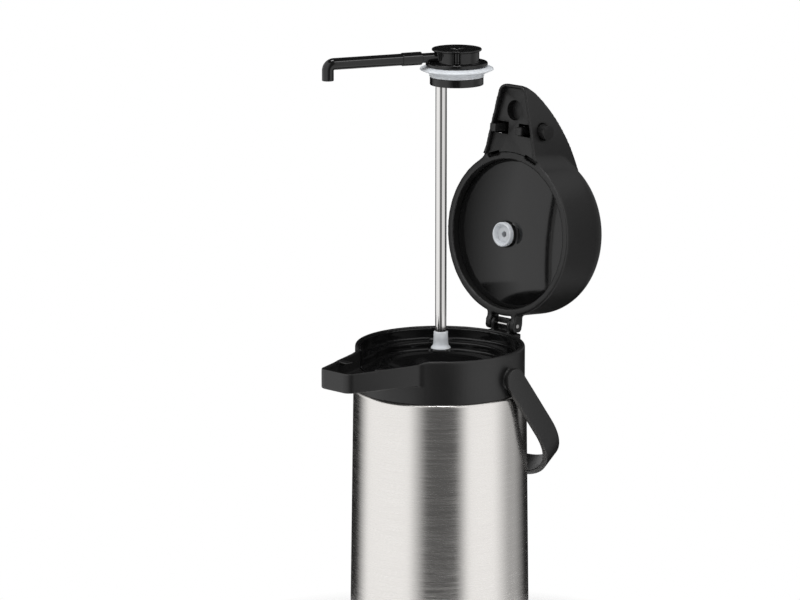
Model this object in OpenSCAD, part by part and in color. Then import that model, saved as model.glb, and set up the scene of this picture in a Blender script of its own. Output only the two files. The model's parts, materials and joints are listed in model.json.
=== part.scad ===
// Pump vacuum jug, shown with its lid swung open and its siphon drawn out of the neck.
// Origin at the centre of the base on the table, +Z up, spout towards -Y, lid hinge towards +Y.

/* [Pose] */
// Angle that the lid is swung open
lid_open = 95; // [0:1:100]
// Height that the siphon is drawn up from its seat
siphon_raise = 274; // [0:1:300]
// Angle that the siphon turns away from the spout over that height
siphon_turn = 22; // [0:1:30]
// Sideways drift of the siphon over that height
siphon_drift_x = 5; // [0:0.5:8]
// Drift of the siphon towards the hinge over that height
siphon_drift_y = 15.5; // [0:0.5:16]

/* [Body] */
// Height of the collar rim above the table
rim_z = 300; // [270:1:340]
// Radius of the steel jacket at its shoulder
jacket_top_r = 78.3; // [70:0.1:90]
// Extra radius of the steel jacket at its foot
jacket_flare = 3.7; // [1:0.1:8]
// Radius of the rounded shoulder edge
jacket_round = 2.5; // [1.5:0.5:4]
// Thickness of the jacket sheet
jacket_wall = 1; // [0.6:0.1:1.4]
// Vacuum gap between the jacket and the liner
vacuum_gap = 5; // [3:0.5:8]
// Vacuum gap under the liner
bottom_gap = 8; // [4:0.5:12]
// Thickness of the liner sheet
liner_wall = 1; // [0.6:0.1:1.4]
// Radius of the liner's rounded shoulder
liner_shoulder = 30; // [20:1:36]
// Radius of the liner's rounded bottom edge
liner_heel = 12; // [6:1:20]
// Inside radius of the neck
neck_r = 26; // [25:0.5:28]
// Depth of the steel mouth below the collar rim
neck_depth = 31; // [29:0.5:34]

/* [Base] */
// Height of the base cup
base_h = 12; // [8:1:20]
// Wall of the base cup outside the jacket
base_wall = 2; // [1.5:0.5:4]
// Height at which the jacket stands in the base cup
jacket_z0 = 4; // [4:0.5:6]
// Width of the ledge that the jacket stands on
base_ledge_w = 10; // [6:1:16]
// Thickness of the base cup's floor above the grip pad
base_floor_t = 1.4; // [1:0.1:1.8]
// Thickness of the rubber grip pad
grip_t = 1.6; // [1.2:0.1:2]
// Height that the grip pad stands below the base cup
grip_proud = 1; // [0.5:0.1:1.1]
// Margin of the base cup round the grip pad
grip_margin = 10.1; // [8:0.1:20]

/* [Collar] */
// Height of the collar
collar_h = 40; // [38:1:48]
// Step from the jacket's shoulder in to the collar
collar_step = 1.6; // [0.9:0.1:2.3]
// Wall of the collar
collar_wall = 3; // [2:0.1:3.6]
// Rounding of the collar's outer rim edge
rim_round = 2.6; // [1:0.1:2.8]
// Length of the spout outside the collar
spout_len = 57.3; // [55:0.1:63]
// Half the distance between the round corners of the spout tip
spout_tip_half = 12; // [10:0.5:14]
// Radius of the spout tip's corners
spout_tip_r = 8; // [7:0.5:10]
// Angle at which each side of the spout flares towards the collar
spout_flare = 18.4; // [14:0.2:20]
// Radius of the fillets between the spout and the collar
spout_fillet = 10; // [6:1:30]
// Wall of the spout
spout_wall = 2.5; // [1.8:0.1:2.6]
// Depth of the spout's underside below the rim
spout_depth = 22.7; // [22:0.1:26]
// Drop of the spout's top edge below the rim at the collar
spout_drop_root = 3; // [1:0.5:4]
// Drop of the spout's top edge below the rim at the tip
spout_drop_tip = 5; // [3:0.5:6]

/* [Funnel] */
// Wall of the funnel
funnel_wall = 2; // [1.5:0.1:2.4]
// Depth of the funnel's first step below the rim
step1_depth = 12; // [8:0.5:14]
// Width of the first step
step1_w = 11.6; // [8:0.1:15]
// Depth of the funnel's second step below the rim
step2_depth = 20; // [19.5:0.1:20.2]
// Width of the second step
step2_w = 14; // [10:0.5:18]
// Thickness of the neck seal
neck_seal_t = 1.5; // [1:0.1:2]

/* [Hinge] */
// Distance of the hinge axis outside the collar
hinge_out = 6.3; // [6.3:0.1:9]
// Height of the hinge axis above the rim
hinge_rise = 5; // [4.5:0.5:6]
// Radius of the hinge pin
pin_r = 1.75; // [1.25:0.05:2.2]
// Radius of the lid's ears round the pin
ear_r = 6.5; // [5.5:0.1:6.6]
// Distance of each ear's inner face from the middle
ear_in = 12; // [10:0.5:16]
// Width of each ear
ear_w = 6; // [4:0.5:8]
// Width of each collar lug
lug_w = 3.5; // [2.5:0.5:5]

/* [Handle] */
// Distance of the pivots behind the jug's axis
pivot_y = 12; // [0:1:15]
// Depth of the pivots below the rim
pivot_depth = 23; // [20:0.5:25]
// Radius of the pivot studs
stud_r = 4; // [3:0.1:5]
// Width of the strap
strap_w = 21; // [16:0.5:24]
// Thickness of the strap
strap_t = 5; // [4:0.1:6.5]
// Inner radius of the strap's bends
strap_bend = 63; // [50:1:70]
// Depth below the pivots at which the strap rests on the jacket
strap_rest = 100; // [90:1:110]
// Angle below the horizontal at which the strap rests on the jacket
handle_hang = 52.5; // [48:0.5:56]

/* [Lid] */
// Step from the collar in to the lid
lid_step = 1.5; // [0.7:0.1:2.2]
// Height of the lid
lid_h = 61; // [58:1:68]
// Wall of the lid
lid_wall = 2.5; // [1.8:0.1:3]
// Radius of the lid's rounded shoulder
lid_shoulder = 24; // [16:1:25]
// Gap between the lid and the collar when closed
lid_gap = 0.8; // [0.4:0.1:1.5]
// Width of the lid's rim
lid_rim_w = 6.7; // [5.5:0.1:8]
// Radius of the nose's curved back, seen from the side
nose_arc_r = 124; // [115:1:140]
// Drop of the nose's ridge below the lid's top
ridge_drop = 5.5; // [4:0.5:8]
// Overhang of the nose beyond the spout's tip
nose_over = 3; // [0:0.5:5]
// Half the distance between the round corners of the nose's tip
nose_tip_half = 8; // [6:0.5:10]
// Radius of the nose tip's corners
nose_tip_r = 10; // [8:0.5:12]
// Angle at which each side of the nose flares towards the lid
nose_flare = 13.9; // [12:0.1:17]
// Radius of the fillets between the nose and the lid
nose_fillet = 24; // [15:1:30]
// Depth that the cover under the nose is set back from the lid's rim
cover_inset = 0.2; // [0.1:0.1:2]
// Thickness of the cover under the nose
cover_t = 2; // [1.5:0.1:2.5]
// Distance of the cover's round recess from the tip of the nose
recess_back = 23.5; // [20:0.5:27]

/* [Pump] */
// Depth of the pump base's edge above the lid's rim
plate_inset = 7.5; // [6.5:0.1:8]
// Thickness of the pump base
plate_t = 2.5; // [2:0.1:3]
// Radius of the boss under the pump base
boss_r = 11.5; // [10:0.5:13]
// Radius of the nozzle seal
seal_r = 11.2; // [9:0.1:12]
// Height of the nozzle seal's soft cup
seal_cup_h = 5; // [4:0.5:6]
// Radius of the air nozzle
air_r = 2.2; // [1.5:0.1:2.8]
// Margin of the lid's flat top round the push plate
push_margin = 4.7; // [3:0.1:9]
// Travel of the push plate
push_travel = 25; // [15:1:26]
// Height that the push plate stands above the lid
push_proud = 3; // [2:0.5:6]
// Margin of the push plate round the bellows
bellows_margin = 6.5; // [5.5:0.1:10]
// Number of folds in the bellows
bellows_folds = 6; // [4:1:8]
// Radius of the return spring
spring_r = 14; // [10:0.5:20]
// Wire thickness of the return spring
spring_wire = 2; // [1.5:0.1:2.5]
// Turns of the return spring
spring_turns = 6; // [4:1:8]

/* [Buttons] */
// Distance of the release buttons from the tip of the nose
button_back = 40.5; // [36:0.5:42]
// Height of the release buttons above the lid's rim
button_h = 12.5; // [10.5:0.5:14]
// Radius of the release buttons
button_r = 7; // [6:0.1:7.4]
// Height that the buttons stand out of the nose
button_proud = 6.7; // [4:0.1:8]
// Travel of the buttons
button_travel = 2.5; // [2:0.1:2.8]
// Distance of the hooks from the middle
hook_x = 13.5; // [13:0.5:15]
// Half the length of the spring between the buttons
latch_spring_half = 10; // [9:0.5:11]

/* [Siphon] */
// Radius of the stopper's flange
flange_r = 27.8; // [27:0.1:29]
// Thickness of the stopper's flange
flange_t = 3.5; // [2.5:0.1:4]
// Radius of the stopper's drum
drum_r = 20.2; // [19.5:0.1:21.5]
// Height of the stopper's drum
drum_h = 10; // [9.6:0.1:12]
// Radius of the stopper's cap
cap_r = 22.3; // [21.5:0.1:24]
// Thickness of the stopper's cap
cap_t = 2; // [1.5:0.1:2.5]
// Radius of the finger notches round the drum
notch_r = 3; // [2:0.1:4]
// Gap between the stopper's plug and the neck
plug_gap = 2; // [1.6:0.1:3]
// Height of the plug below the flange
plug_h = 17; // [15:0.5:18]
// Reach of the gasket's lip outside its band
lip_w = 8.5; // [6.5:0.1:9.5]
// Height of the gasket's lip
lip_h = 5.7; // [5:0.1:6]
// Drop of the lip's edge below the flange
lip_drop = 2; // [1:0.1:2.6]
// Thickness of the gasket's lip
lip_t = 1.4; // [1:0.1:1.8]
// Height of the gasket's band
band_h = 4; // [3:0.1:4.5]
// Offset of the dip tube from the stopper's axis
tube_off = 15; // [14:0.1:15.4]
// Radius of the dip tube
tube_r = 5.1; // [4.8:0.1:5.3]
// Wall of the dip tube
tube_wall = 0.6; // [0.4:0.1:1]
// Height of the tube foot
foot_h = 15.6; // [12:0.1:20]
// Radius of the tube foot's sleeve
foot_r = 6.7; // [6.5:0.1:7.2]
// Radius of the tube foot's flared end
foot_flare_r = 8.9; // [8:0.1:9.5]
// Height of the tube foot above the liner's floor
foot_clear = 3; // [1.5:0.5:5]
// Distance of the outlet pipe's turned-down end from the spout's tip
pipe_back = 10; // [9.6:0.1:13]
// Radius of the outlet pipe
pipe_r = 5.25; // [5:0.05:5.4]
// Bore radius of the outlet pipe
pipe_bore_r = 3; // [2.5:0.1:3.4]
// Length of the turned-down end below the pipe's axis
pipe_drop = 14.6; // [13:0.1:16]
// Radius of the stub that carries the pipe
stub_r = 4.4; // [4.2:0.1:4.6]
// Radius of the pipe sleeve
sleeve_r = 5.9; // [5.6:0.05:6]
// Distance of the pipe sleeve from the stopper's axis
sleeve_start = 34.7; // [33:0.1:36]
// Length of the pipe sleeve
sleeve_len = 18.6; // [15:0.1:20]

/* [Hidden] */
$fn = 64;
// clearance between fitted pieces that don't move, and between pieces that move
fit_gap = 0.1;
run_gap = 0.3;
pin_gap = 0.05;
eps = 0.01;

black = [0.16, 0.16, 0.16];
gloss_black = [0.07, 0.07, 0.07];
steel = [0.75, 0.74, 0.72];
silicone = [0.8, 0.82, 0.85];
rubber = [0.12, 0.12, 0.12];

jacket_foot_r = jacket_top_r + jacket_flare;
collar_r = jacket_top_r - collar_step;
lid_r = collar_r - lid_step;
spout_reach = collar_r + spout_len;
hinge_y = collar_r + hinge_out;
nose_reach = spout_reach + nose_over;
button_d = nose_reach - button_back;
// depth inside the lid at which the nose's form starts, and depth that the lid's cuts start below its rim
nose_root = lid_r - nose_reach / 3;
lid_under = lid_h / 3;
pipe_reach = spout_reach - pipe_back;

shoulder_z = rim_z - collar_h;
mouth_z = rim_z - neck_depth;
bottom_z = jacket_z0 + 4;
liner_z0 = bottom_z + jacket_wall + bottom_gap;
liner_r = jacket_top_r - jacket_wall - vacuum_gap;
liner_top_z = shoulder_z - jacket_wall - vacuum_gap;
jacket_neck_bore = neck_r + liner_wall + fit_gap;
jacket_neck_r = jacket_neck_bore + jacket_wall;
base_r = jacket_foot_r + fit_gap + base_wall;
grip_r = base_r - grip_margin;

bowl_r = collar_r - collar_wall;
step1_r = bowl_r - fit_gap - funnel_wall - step1_w;
step2_r = step1_r - step2_w;
collar_floor_t = 2.5;
spout_bottom_z = rim_z - spout_depth;
spout_floor_z = spout_bottom_z + spout_wall;
// distance of the spout's root from the axis, inside the collar
spout_root = bowl_r - 13.7;
hole_gap = 1.8;
// underside and inner edge of the shelves that the hooks catch
catch_z = rim_z - 7.5;
shelf_in = hook_x + 4;

hinge_z = rim_z + hinge_rise;
ear_out = ear_in + ear_w;
bracket_h = 14;

pivot_z = rim_z - pivot_depth;
strap_gap = 0.5;
handle_half = jacket_top_r + strap_gap;
// reach at which the strap's lower edge just clears the jacket where it hangs
strap_rest_z = pivot_z - strap_rest;
strap_rest_y = jacket_r(strap_rest_z) + strap_gap + strap_w / 2 * sin(handle_hang);
handle_reach = (strap_rest_y - pivot_y) / cos(handle_hang);

lid_z = rim_z + lid_gap;
lid_ledge = plate_inset + plate_t;
lid_rim_bore = lid_r - lid_rim_w;
push_r = lid_r - lid_shoulder - push_margin;
bellows_r = push_r - bellows_margin;
push_bore = push_r + run_gap;
push_top_z = lid_z + lid_h + push_proud;
push_t = 4;
push_skirt = push_travel + 3;
plate_top_z = lid_z + lid_ledge;
bellows_top_z = push_top_z - push_t;
bellows_h = bellows_top_z - plate_top_z;

// seat of the siphon: the underside of the stopper's flange
band_dip = 2.2;
seat_z = mouth_z + neck_seal_t + band_h + lip_h - band_dip;
plug_r = neck_r - plug_gap;
band_r = plug_r + 0.5;
lip_r = band_r + lip_w;
plug_core_r = plug_r - 2;
pipe_z = flange_t + drum_h / 2;
cap_z = flange_t + drum_h;
socket_r = 6.3;
socket_rise = 0.8;
cap_top_z = seat_z + cap_z + cap_t + socket_rise;
tube_top = 2;
tube_in_foot = 10;
foot_z = liner_z0 + liner_wall + foot_clear - seat_z;
sleeve_mid = sleeve_start + sleeve_len / 2;
valve_r = 7.5;
valve_t = 1.2;

// outer radius of the jacket at a height
function jacket_r(z) = jacket_foot_r
    + (jacket_top_r - jacket_foot_r) * (z - jacket_z0) / (shoulder_z - jacket_z0);

// drop of the spout's top edge below the rim at a distance from the axis
function spout_drop(d) = spout_drop_root
    + (spout_drop_tip - spout_drop_root) * (d - spout_root) / (spout_reach - spout_root);

// half-width of the spout's outline at a distance from the axis
function spout_half(d) = spout_tip_half + spout_tip_r * cos(spout_flare)
    + (spout_reach - spout_tip_r - spout_tip_r * -sin(spout_flare) - d) * tan(spout_flare);

// half-width of the nose's outline at a distance from the axis
function nose_half(d) = nose_tip_half + nose_tip_r * cos(nose_flare)
    + (nose_reach - nose_tip_r + nose_tip_r * sin(nose_flare) - d) * tan(nose_flare);

// half profile of a drum with a rounded foot and a rounded top
module drum2d(r, h, foot, top) {
    translate([0, foot]) square([r, h - foot - top]);
    square([r - foot, h - top]);
    translate([0, foot]) square([r - top, h - foot]);
    translate([r - foot, foot]) circle(foot);
    translate([r - top, h - top]) circle(top);
}

// ring of a wall between two radii
module tube(r_out, r_in, h) {
    difference() {
        cylinder(r = r_out, h = h);
        translate([0, 0, -1]) cylinder(r = r_in, h = h + 2);
    }
}

// cylinder along X between two places
module rod_x(r, x0, x1) {
    translate([x0, 0, 0]) rotate([0, 90, 0]) cylinder(r = r, h = x1 - x0);
}

// cylinder along -Y between two distances from the axis
module rod_out(r, d0, d1) {
    translate([0, -d0, 0]) rotate([90, 0, 0]) cylinder(r = r, h = d1 - d0);
}

// outline in the Y and Z directions, as wide as the spout and nose
module side_slab(points) {
    rotate([90, 0, 90]) linear_extrude(2 * collar_r, center = true) polygon(points);
}

// one unbroken coil of wire along Z
module coil(r, wire, length, turns) {
    sides = 6;
    rings = 8 * turns + 1;
    echo(least_gap_in_coil = length / turns - wire);
    points = [for (i = [0 : rings - 1], k = [0 : sides - 1])
        let (a = 360 * turns * i / (rings - 1), b = 360 * k / sides, q = r + wire / 2 * cos(b))
        [q * cos(a), q * sin(a), length * i / (rings - 1) + wire / 2 * sin(b)]];
    walls = [for (i = [0 : rings - 2], k = [0 : sides - 1])
        let (m = i * sides + k, n = i * sides + (k + 1) % sides)
        each [[m, m + sides, n], [n, m + sides, n + sides]]];
    ends = [for (k = [1 : sides - 2]) each
        [[0, k, k + 1], [(rings - 1) * sides, (rings - 1) * sides + k + 1, (rings - 1) * sides + k]]];
    polyhedron(points, concat(walls, ends), convexity = 10);
}

// Body

module jacket2d(inset, foot_z) {
    r = jacket_top_r - inset;
    c = jacket_round - inset;
    top = shoulder_z - inset;
    polygon([[0, foot_z], [jacket_foot_r - inset, foot_z], [r, top - c], [r - c, top], [0, top]]);
    translate([r - c, top - c]) circle(c);
}

module outer_shell() {
    color(steel) difference() {
        union() {
            rotate_extrude() jacket2d(0, jacket_z0);
            translate([0, 0, shoulder_z - eps]) cylinder(r = jacket_neck_r, h = mouth_z - shoulder_z + eps);
        }
        rotate_extrude() jacket2d(jacket_wall, jacket_z0 - 1);
        translate([0, 0, liner_top_z]) cylinder(r = jacket_neck_bore, h = neck_depth + collar_h);
    }
}

module shell_bottom() {
    r = jacket_r(bottom_z + jacket_wall) - jacket_wall - fit_gap;
    color(steel) {
        translate([0, 0, bottom_z]) cylinder(r = r, h = jacket_wall);
        translate([0, 0, jacket_z0]) tube(r, r - jacket_wall, bottom_z - jacket_z0 + eps);
    }
}

module liner2d(inset) {
    h = liner_top_z - liner_z0 - 2 * inset;
    translate([0, liner_z0 + inset]) drum2d(liner_r - inset, h, liner_heel - inset, liner_shoulder - inset);
    translate([0, liner_top_z - liner_shoulder])
        square([neck_r + liner_wall - inset, mouth_z - liner_top_z + liner_shoulder]);
}

module inner_liner() {
    color(steel) rotate_extrude() difference() {
        liner2d(0);
        liner2d(liner_wall);
        translate([0, mouth_z - 1]) square([neck_r, 2]);
    }
}

module vacuum_getter() {
    getter_r = 8;
    getter_t = 2;
    color(steel) translate([0, 0, liner_z0 - getter_t]) cylinder(r = getter_r, h = getter_t);
}

module base_cup() {
    chamfer = 1;
    inner = jacket_foot_r - base_ledge_w;
    color(black) difference() {
        rotate_extrude() polygon([[0, grip_proud], [base_r - chamfer, grip_proud],
            [base_r, grip_proud + chamfer], [base_r, base_h - chamfer], [base_r - chamfer, base_h],
            [jacket_foot_r + fit_gap, base_h], [jacket_foot_r + fit_gap, jacket_z0], [inner, jacket_z0],
            [inner, grip_t + base_floor_t], [0, grip_t + base_floor_t]]);
        cylinder(r = grip_r + fit_gap, h = grip_t);
    }
}

module grip_pad() {
    color(rubber) cylinder(r = grip_r, h = grip_t);
}

// Collar

// tongue with a rounded tip from above, grown by a wall, back to a distance from the axis
module tongue2d(reach, tip_half, tip_r, flare, grow, root) {
    r = tip_r + grow;
    cy = tip_r - reach;
    side_x = tip_half + r * cos(flare);
    side_y = cy - r * sin(flare);
    root_x = side_x + (-root - side_y) * tan(flare);
    polygon([[-tip_half, cy - r], [tip_half, cy - r], [side_x, side_y], [root_x, -root],
        [-root_x, -root], [-side_x, side_y]]);
    for (s = [-1, 1]) translate([s * tip_half, cy]) circle(r);
}

module spout2d(grow, root) {
    tongue2d(spout_reach, spout_tip_half, spout_tip_r, spout_flare, grow, root);
}

module nose2d(grow, root) {
    tongue2d(nose_reach, nose_tip_half, nose_tip_r, nose_flare, grow, root);
}

// concave fillets between the sides of a tongue and a round body
module tongue_fillet2d(reach, tip_half, tip_r, flare, body_r, r) {
    out = [cos(flare), -sin(flare)];
    along = [sin(flare), cos(flare)];
    start = [tip_half, tip_r - reach] + out * (tip_r + r - 0.05);
    back = start * along;
    centre = start - along * (back + sqrt(back * back - start * start + pow(body_r + r - 0.05, 2)));
    on_side = centre - out * r;
    for (s = [0, 1]) mirror([s, 0]) difference() {
        polygon([on_side, centre * (body_r - 0.3) / (body_r + r), on_side + along * r]);
        translate(centre) circle(r);
    }
}

module spout_block() {
    far = spout_reach + 5;
    intersection() {
        translate([0, 0, spout_bottom_z]) linear_extrude(spout_depth) {
            spout2d(0, spout_root);
            tongue_fillet2d(spout_reach, spout_tip_half, spout_tip_r, spout_flare, collar_r, spout_fillet);
        }
        side_slab([[-far, 0], [0, 0], [0, rim_z - spout_drop(0)], [-far, rim_z - spout_drop(far)]]);
    }
}

// cut that ramps the rim down to the spout's top edge on both sides
module rim_ramp() {
    ramp_w = 9;
    low_x = spout_half(collar_r);
    low_z = rim_z - spout_drop(collar_r) + 0.1;
    translate([0, 10 - spout_root, 0]) rotate([90, 0, 0]) linear_extrude(collar_r) polygon([[-low_x, low_z],
        [low_x, low_z], [low_x + ramp_w, rim_z + 0.1], [-low_x - ramp_w, rim_z + 0.1]]);
}

// shelf on each side of the spout channel that a hook catches under
module catch_shelf() {
    shelf_w = 9;
    shelf_t = 2;
    intersection() {
        translate([0, 0, spout_floor_z]) linear_extrude(spout_depth) spout2d(-eps, spout_root);
        for (s = [-1, 1])
            translate([s > 0 ? shelf_in : -shelf_in - spout_half(button_d), -button_d - shelf_w / 2, catch_z])
                cube([spout_half(button_d), shelf_w, shelf_t]);
    }
}

module hinge_bracket() {
    back = hinge_y + 4;
    root = bowl_r + 0.4;
    web_half = ear_in - run_gap - lug_w / 2;
    web_y = hinge_y + pin_r + run_gap;
    translate([-ear_out, root, rim_z - bracket_h])
        cube([2 * ear_out, back - root, bracket_h + hinge_rise - ear_r - run_gap * 2]);
    translate([-web_half, web_y, rim_z - bracket_h])
        cube([2 * web_half, back - web_y, bracket_h + hinge_rise + ear_r - 1.2]);
    for (s = [-1, 1]) translate([s * (ear_in - run_gap - lug_w / 2), hinge_y, hinge_z]) {
        rod_x(ear_r - 1, -lug_w / 2, lug_w / 2);
        translate([-lug_w / 2, 1 - ear_r, -bracket_h]) cube([lug_w, 2 * (ear_r - 1), bracket_h]);
    }
}

module collar() {
    boss_r = strap_w / 2 - 1.5;
    color(black) difference() {
        union() {
            difference() {
                union() {
                    translate([0, 0, shoulder_z]) rotate_extrude() drum2d(collar_r, collar_h, eps, rim_round);
                    spout_block();
                }
                translate([0, 0, shoulder_z + collar_floor_t]) cylinder(r = bowl_r, h = collar_h);
                rim_ramp();
                translate([0, 0, shoulder_z - 1]) cylinder(r = jacket_neck_r + fit_gap, h = collar_h);
                translate([0, 0, spout_floor_z]) linear_extrude(collar_h) spout2d(-spout_wall, spout_root);
                translate([0, -pipe_reach, spout_bottom_z - 1])
                    cylinder(r = pipe_r + hole_gap, h = spout_depth);
            }
            catch_shelf();
            hinge_bracket();
            for (s = [-1, 1]) translate([0, pivot_y, pivot_z]) mirror([s < 0 ? 1 : 0, 0, 0])
                rod_x(boss_r, bowl_r, handle_half - run_gap);
        }
        translate([0, hinge_y, hinge_z]) rod_x(pin_r + pin_gap, -ear_out, ear_out);
        translate([0, pivot_y, pivot_z]) for (s = [-1, 1]) mirror([s < 0 ? 1 : 0, 0, 0])
            rod_x(stud_r + pin_gap, collar_r - collar_wall / 2, handle_half);
    }
}

// cone that the gasket's lip seats on, and the throat below it
function lip_slope() = (lip_r - band_r) / (lip_h - lip_drop);

module collar_funnel() {
    top = rim_z - 1.5;
    outer = bowl_r - fit_gap;
    throat = neck_r + fit_gap;
    low_z = mouth_z + neck_seal_t;
    seat_low_z = seat_z - lip_h - lip_t - run_gap + (throat - band_r) / lip_slope();
    seat_top_z = seat_z - lip_drop - lip_t - run_gap;
    seat_top_r = lip_r;
    step1_z = rim_z - step1_depth;
    step2_z = rim_z - step2_depth;
    channel_root = step2_r - step2_w;
    w = funnel_wall;
    color(gloss_black) difference() {
        union() {
            rotate_extrude() polygon([[outer, top], [outer - w, top], [outer - w, step1_z], [step1_r, step1_z],
                [step1_r, step2_z], [step2_r, step2_z], [seat_top_r, seat_top_z], [throat, seat_low_z],
                [throat, low_z], [throat + 3 * w, low_z], [throat + 3 * w, seat_low_z - w],
                [seat_top_r + w, seat_top_z - w], [step2_r, step2_z - w], [step1_r + w, step2_z - w],
                [step1_r + w, step1_z - w], [outer, step1_z - w]]);
            // floor and sides that lead the funnel out into the spout
            intersection() {
                translate([0, 0, step2_z - w - 0.3]) tube(outer - 0.2, step1_r + w / 2, step1_depth);
                translate([0, 0, step2_z - w - 0.3]) linear_extrude(step2_depth - step1_depth + w)
                    spout2d(w - spout_wall, channel_root);
            }
        }
        translate([0, 0, step2_z + 0.3]) linear_extrude(collar_h) spout2d(-spout_wall, channel_root);
        translate([0, 0, -0.6]) rim_ramp();
    }
}

module neck_seal() {
    color(silicone) translate([0, 0, mouth_z]) tube(jacket_neck_r, neck_r + fit_gap, neck_seal_t);
}

module hinge_pin() {
    color(steel) translate([0, hinge_y, hinge_z]) rod_x(pin_r, 0.5 - ear_out, ear_out - 0.5);
}

module handle_studs() {
    color(steel) translate([0, pivot_y, pivot_z]) for (s = [-1, 1]) mirror([s < 0 ? 1 : 0, 0, 0])
        rod_x(stud_r, collar_r - collar_wall / 2, handle_half + strap_t - 1.5 - run_gap);
}

// Handle

module bail2d(grow) {
    half = handle_half + grow;
    reach = handle_reach + grow;
    bend = strap_bend + grow;
    translate([-half, 0]) square([2 * half, reach - bend]);
    translate([bend - half, 0]) square([2 * (half - bend), reach]);
    for (s = [-1, 1]) translate([s * (half - bend), reach - bend]) circle(bend);
}

module handle() {
    color(black) translate([0, pivot_y, pivot_z]) rotate([-handle_hang, 0, 0]) difference() {
        union() {
            translate([0, 0, -strap_w / 2]) linear_extrude(strap_w) difference() {
                bail2d(strap_t);
                bail2d(0);
                translate([-2 * handle_half, -handle_half]) square([4 * handle_half, handle_half]);
            }
            for (s = [-1, 1]) mirror([s < 0 ? 1 : 0, 0, 0])
                rod_x(strap_w / 2, handle_half, handle_half + strap_t);
        }
        for (s = [-1, 1]) mirror([s < 0 ? 1 : 0, 0, 0])
            rod_x(stud_r + pin_gap, handle_half - 1, handle_half + strap_t - 1.5);
    }
}

// Lid, modelled closed and swung open about the hinge

module swing_lid() {
    translate([0, hinge_y, hinge_z]) rotate([-lid_open, 0, 0]) translate([0, -hinge_y, -hinge_z]) children();
}

// body of the nose, drawn in by a wall, with its underside lowered by a margin
module nose_block(inset, lower) {
    far = nose_reach + 5;
    root = [lid_r - lid_shoulder + 0.8, lid_h - ridge_drop];
    tip = [nose_reach - 3, 4];
    low = lid_gap - lower;
    run = [tip[0] - root[0], root[1] - tip[1]];
    chord = norm(run);
    rise = sqrt(nose_arc_r * nose_arc_r - chord * chord / 4);
    centre = (root + tip) / 2 - rise / chord * [run[1], run[0]];
    intersection() {
        union() {
            translate([0, 0, lid_z - lid_under]) linear_extrude(lid_h + lid_under - 1 - inset)
                nose2d(-inset, nose_root);
            if (inset == 0) nose_fillets();
        }
        side_slab([[-far, rim_z - spout_drop(far) + low], [0, rim_z - spout_drop(0) + low],
            [0, lid_z + lid_h], [-far, lid_z + lid_h]]);
        translate([0, -centre[0], lid_z + centre[1]]) rod_x(nose_arc_r - inset, -collar_r, collar_r);
    }
}

// fillets between the nose and the lid, drawn in with the lid's shoulder
module nose_fillets() {
    grow = 6;
    intersection() {
        translate([0, 0, lid_z - lid_under]) linear_extrude(lid_h + lid_under - 1)
            tongue_fillet2d(nose_reach, nose_tip_half, nose_tip_r, nose_flare, lid_r, nose_fillet);
        translate([0, 0, lid_z - lid_under]) rotate_extrude()
            drum2d(lid_r + grow, lid_h + lid_under - 0.8, eps, lid_shoulder + 2 * grow);
    }
}

module lid_ears() {
    arm = 14;
    half = ear_r - 0.5;
    round = ear_r - 2.5;
    for (s = [-1, 1]) mirror([s < 0 ? 1 : 0, 0, 0]) {
        translate([ear_in, hinge_y, hinge_z]) rotate([90, 0, 90]) linear_extrude(ear_w) {
            square([2 * half, 2 * (half - round)], center = true);
            square([2 * (half - round), 2 * half], center = true);
            for (a = [-1, 1], b = [-1, 1]) translate([a * (half - round), b * (half - round)]) circle(round);
        }
        translate([ear_in, hinge_y - arm, lid_z]) cube([ear_w, arm, hinge_rise - lid_gap + ear_r]);
    }
}

module lid_inside() {
    difference() {
        nose_block(lid_wall, 5);
        translate([0, 0, lid_z - lid_under]) cylinder(r = lid_r, h = lid_under + lid_ledge + 2);
    }
    translate([0, 0, lid_z + lid_ledge + 2]) rotate_extrude()
        drum2d(lid_r - lid_wall, lid_h - lid_ledge - 2 - lid_wall, eps, lid_shoulder - lid_wall);
    translate([0, 0, lid_z - lid_under]) cylinder(r = lid_rim_bore, h = lid_ledge + lid_under);
    translate([0, 0, lid_z - lid_under]) cylinder(r = collar_r + lid_gap, h = lid_under);
    translate([0, 0, lid_z]) cylinder(r = lid_rim_bore - 3, h = lid_h / 2);
    translate([0, 0, lid_z]) cylinder(r = push_bore, h = 2 * lid_h);
}

// slots in the rim at the foot of the nose
module rim_slots() {
    slot = [15, 4, 5];
    for (s = [-1, 1]) rotate([0, 0, s * 18]) translate([-slot[0] / 2, -lid_r - 1.4, lid_z - 1]) cube(slot);
}

module lid_housing() {
    guide_w = 2.5;
    guide_h = 12;
    color(black) swing_lid() difference() {
        union() {
            difference() {
                union() {
                    translate([0, 0, lid_z]) rotate_extrude() drum2d(lid_r, lid_h, 1, lid_shoulder);
                    nose_block(0, 0);
                    lid_ears();
                }
                lid_inside();
                rim_slots();
            }
            translate([0, 0, lid_z + lid_h - guide_h])
                tube(push_bore + guide_w, push_bore, guide_h - lid_wall / 2);
        }
        translate([0, hinge_y, hinge_z]) rod_x(pin_r + pin_gap, -ear_out - 1, ear_out + 1);
        translate([0, -button_d, lid_z + button_h]) rod_x(button_r + run_gap, -collar_r, collar_r);
    }
}

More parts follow.
